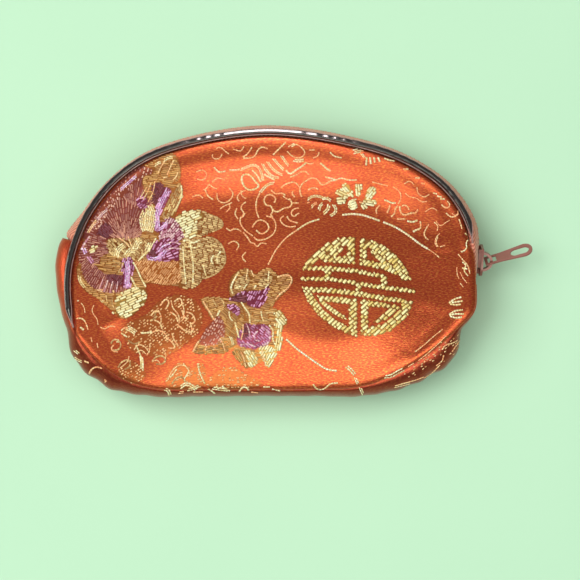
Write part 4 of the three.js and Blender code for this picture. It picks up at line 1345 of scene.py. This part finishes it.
# %% [markdown]
# ## Piping
# A cord wrapped in dark foil is sewn into each panel's seam and pressed flat on its outer face. The foil
# is glossy and crinkled, so its highlight breaks into streaks and spots, and its folded edges show as two
# greyish pink lips.

# %% Foil
# Foil-coated cloth, crinkled as it was wrapped: nearly black, with sharp streaks of light.
foil, *_ = mottled(
    "dark foil-coated piping", 2.381, 2, "4A4040", "665A5A", bump=0.12, deep=0.3,
    Metallic=0.9, Roughness=0.14, Coat_Weight=0.6)
# The same cloth's folded edge, where the coating has rubbed off: duller and paler than its face.
lip_foil, *_ = mottled("folded foil edge", 1.6667, 2, "6A4844", "C89C94", Metallic=0.3, Roughness=0.35)

# %% Piping tubes
PIPE_SPACING = 0.6
pipe_steps, pipe_travelled, pipe_total = even_steps(PIPING_FROM, PIPING_TO, PIPE_SPACING)
PIPE_SIDES = 28
PIPE_R = 0.8  # the bare cord, which its folded edges bring to the seam's room
PIPE_FACE = math.radians(59)  # the foil is pressed flat on a face that leans 31 degrees out of the purse
PIPE_SQUARE = 5.5  # higher is flatter
PIPE_CORNER = 0.92  # keeps the flattened section's corners within the round one
PIPE_END_R = 0.12
PIPE_UP = 0.2  # how far the front piping stands over its seam
PIPE_UNEVEN = 0.035  # share by which it swells and thins
PIPE_WAVES, WAVES_DRIFT, WAVES_STRAY = 1.9, 0.37, 2  # how often, in radians to a mm, and how regularly
PIPE_GIRTH = 6  # mm, for the UV map
PIPE_CLOSE = 1e-4  # mm, merges the tube's two long edges
LIP_R = 0.17
LIP_OUT = 0.96  # share of the piping's radius at which a lip lies
LIP_UP = 0.2


def pipe_radius(travelled):
    return np.maximum(PIPE_R * taper(travelled, pipe_total, PIPING_TUCK), PIPE_END_R)


def pipe_points(offset, level, up):
    def places(u, v):
        travelled = u * pipe_total
        steps = np.interp(travelled, pipe_travelled, pipe_steps)
        wave = travelled * PIPE_WAVES + WAVES_STRAY * np.sin(travelled * WAVES_DRIFT)
        radius = pipe_radius(travelled) * (1 + PIPE_UNEVEN * np.sin(wave))
        turn = -2 * math.pi * v
        from_face = turn - up * PIPE_FACE
        spread = np.abs(np.cos(from_face)) ** PIPE_SQUARE + np.abs(np.sin(from_face)) ** PIPE_SQUARE
        radius = radius * PIPE_CORNER / spread ** (1 / PIPE_SQUARE)
        flat = seam(steps) + outward(steps) * (offset(steps) + radius * np.cos(turn))[:, None]
        return stacked(flat, level + radius * np.sin(turn)), np.column_stack([travelled, v * PIPE_GIRTH])
    return places


def lip_line(offset, level, side):
    """The line of a folded edge beside the piping, side 1 outside it and -1 inside."""
    reach = offset(pipe_steps) + side * pipe_radius(pipe_travelled) * LIP_OUT
    flat = seam(pipe_steps) + outward(pipe_steps) * reach[:, None]
    return stacked(flat, level)


for name, offset, level, up in (
        ("piping_front", lambda at: np.full(len(at), -PIPING_IN), FRONT_SEAM_Z + PIPE_UP, 1),
        ("piping_back", back_offset, BACK_SEAM_Z, -1)):
    bm = grid(len(pipe_steps) - 1, PIPE_SIDES)
    shape(bm, pipe_points(offset, level, up))
    bmesh.ops.remove_doubles(bm, verts=bm.verts, dist=PIPE_CLOSE)
    bmesh.ops.holes_fill(bm, edges=[e for e in bm.edges if e.is_boundary], sides=0)
    bmesh.ops.recalc_face_normals(bm, faces=bm.faces)
    finish_piece(name + "_foil", bm, foil, replaces=[name])
    lips = [lip_line(offset, level + up * LIP_UP, side) for side in (1, -1)]
    finish_piece(name + "_lips", wire_mesh(lips, LIP_R), lip_foil)

# %% [markdown]
# ## Slider and pull
# Both are die-cast metal with dusky salmon paint that has worn lighter along the edges. The CAD shapes are
# right but have sharp edges, so each is copied, merged and bevelled. The bevel's faces show the wear.

# %% Painted metal
# Sprayed paint: half glossy, a little uneven, and lighter where hands have worn it.
paint, tree, shader, tone = mottled(
    "salmon paint on die-cast zinc", 1.4286, 3, "4C1C18", "78382E", bump=0.1,
    Metallic=0.15, Roughness=0.38, Coat_Weight=0.15)
wear = add(tree, "Attribute", attribute_name="wear")
worn = add(tree, "Mix", {
    "Factor": wear.outputs["Fac"], "A": tone.outputs["Color"], "B": linear("B87468")}, data_type="RGBA")
tree.links.new(worn.outputs["Result"], shader.inputs["Base Color"])


# %% Bevelled metal
MERGE = 0.005  # mm
FLAT, SHARP = math.radians(3), math.radians(40)  # edges under the one are dissolved, over the other bevelled
WEAR = 0.5  # how far the paint is worn on a bevel


def bevelled(node, name, body, bevel):
    """A copy of a CAD node with its doubles merged, its flats joined and its edges rounded."""
    bm = bmesh.new()
    bm.from_mesh(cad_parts[node].data)
    bmesh.ops.scale(bm, verts=bm.verts, vec=(1 / MM,) * 3)
    bmesh.ops.remove_doubles(bm, verts=bm.verts, dist=MERGE)
    bmesh.ops.dissolve_limit(bm, angle_limit=FLAT, verts=bm.verts, edges=bm.edges)
    sharp = [e for e in bm.edges if len(e.link_faces) == 2 and e.calc_face_angle(0) > SHARP]
    made = bmesh.ops.bevel(bm, geom=sharp, offset=bevel, offset_type="OFFSET", affect="EDGES", segments=3,
                           profile=0.5, material=-1, clamp_overlap=True)
    layer = bm.verts.layers.float.new("wear")
    for face in made["faces"]:
        for vert in face.verts:
            vert[layer] = WEAR
    bmesh.ops.triangulate(bm, faces=[f for f in bm.faces if len(f.verts) > 4])
    finish_piece(name, bm, paint, body=body, replaces=[node])


bevelled("zip_slider", "slider", "purse", bevel=0.16)
bevelled("pull_tab", "pull", "pull", bevel=0.22)
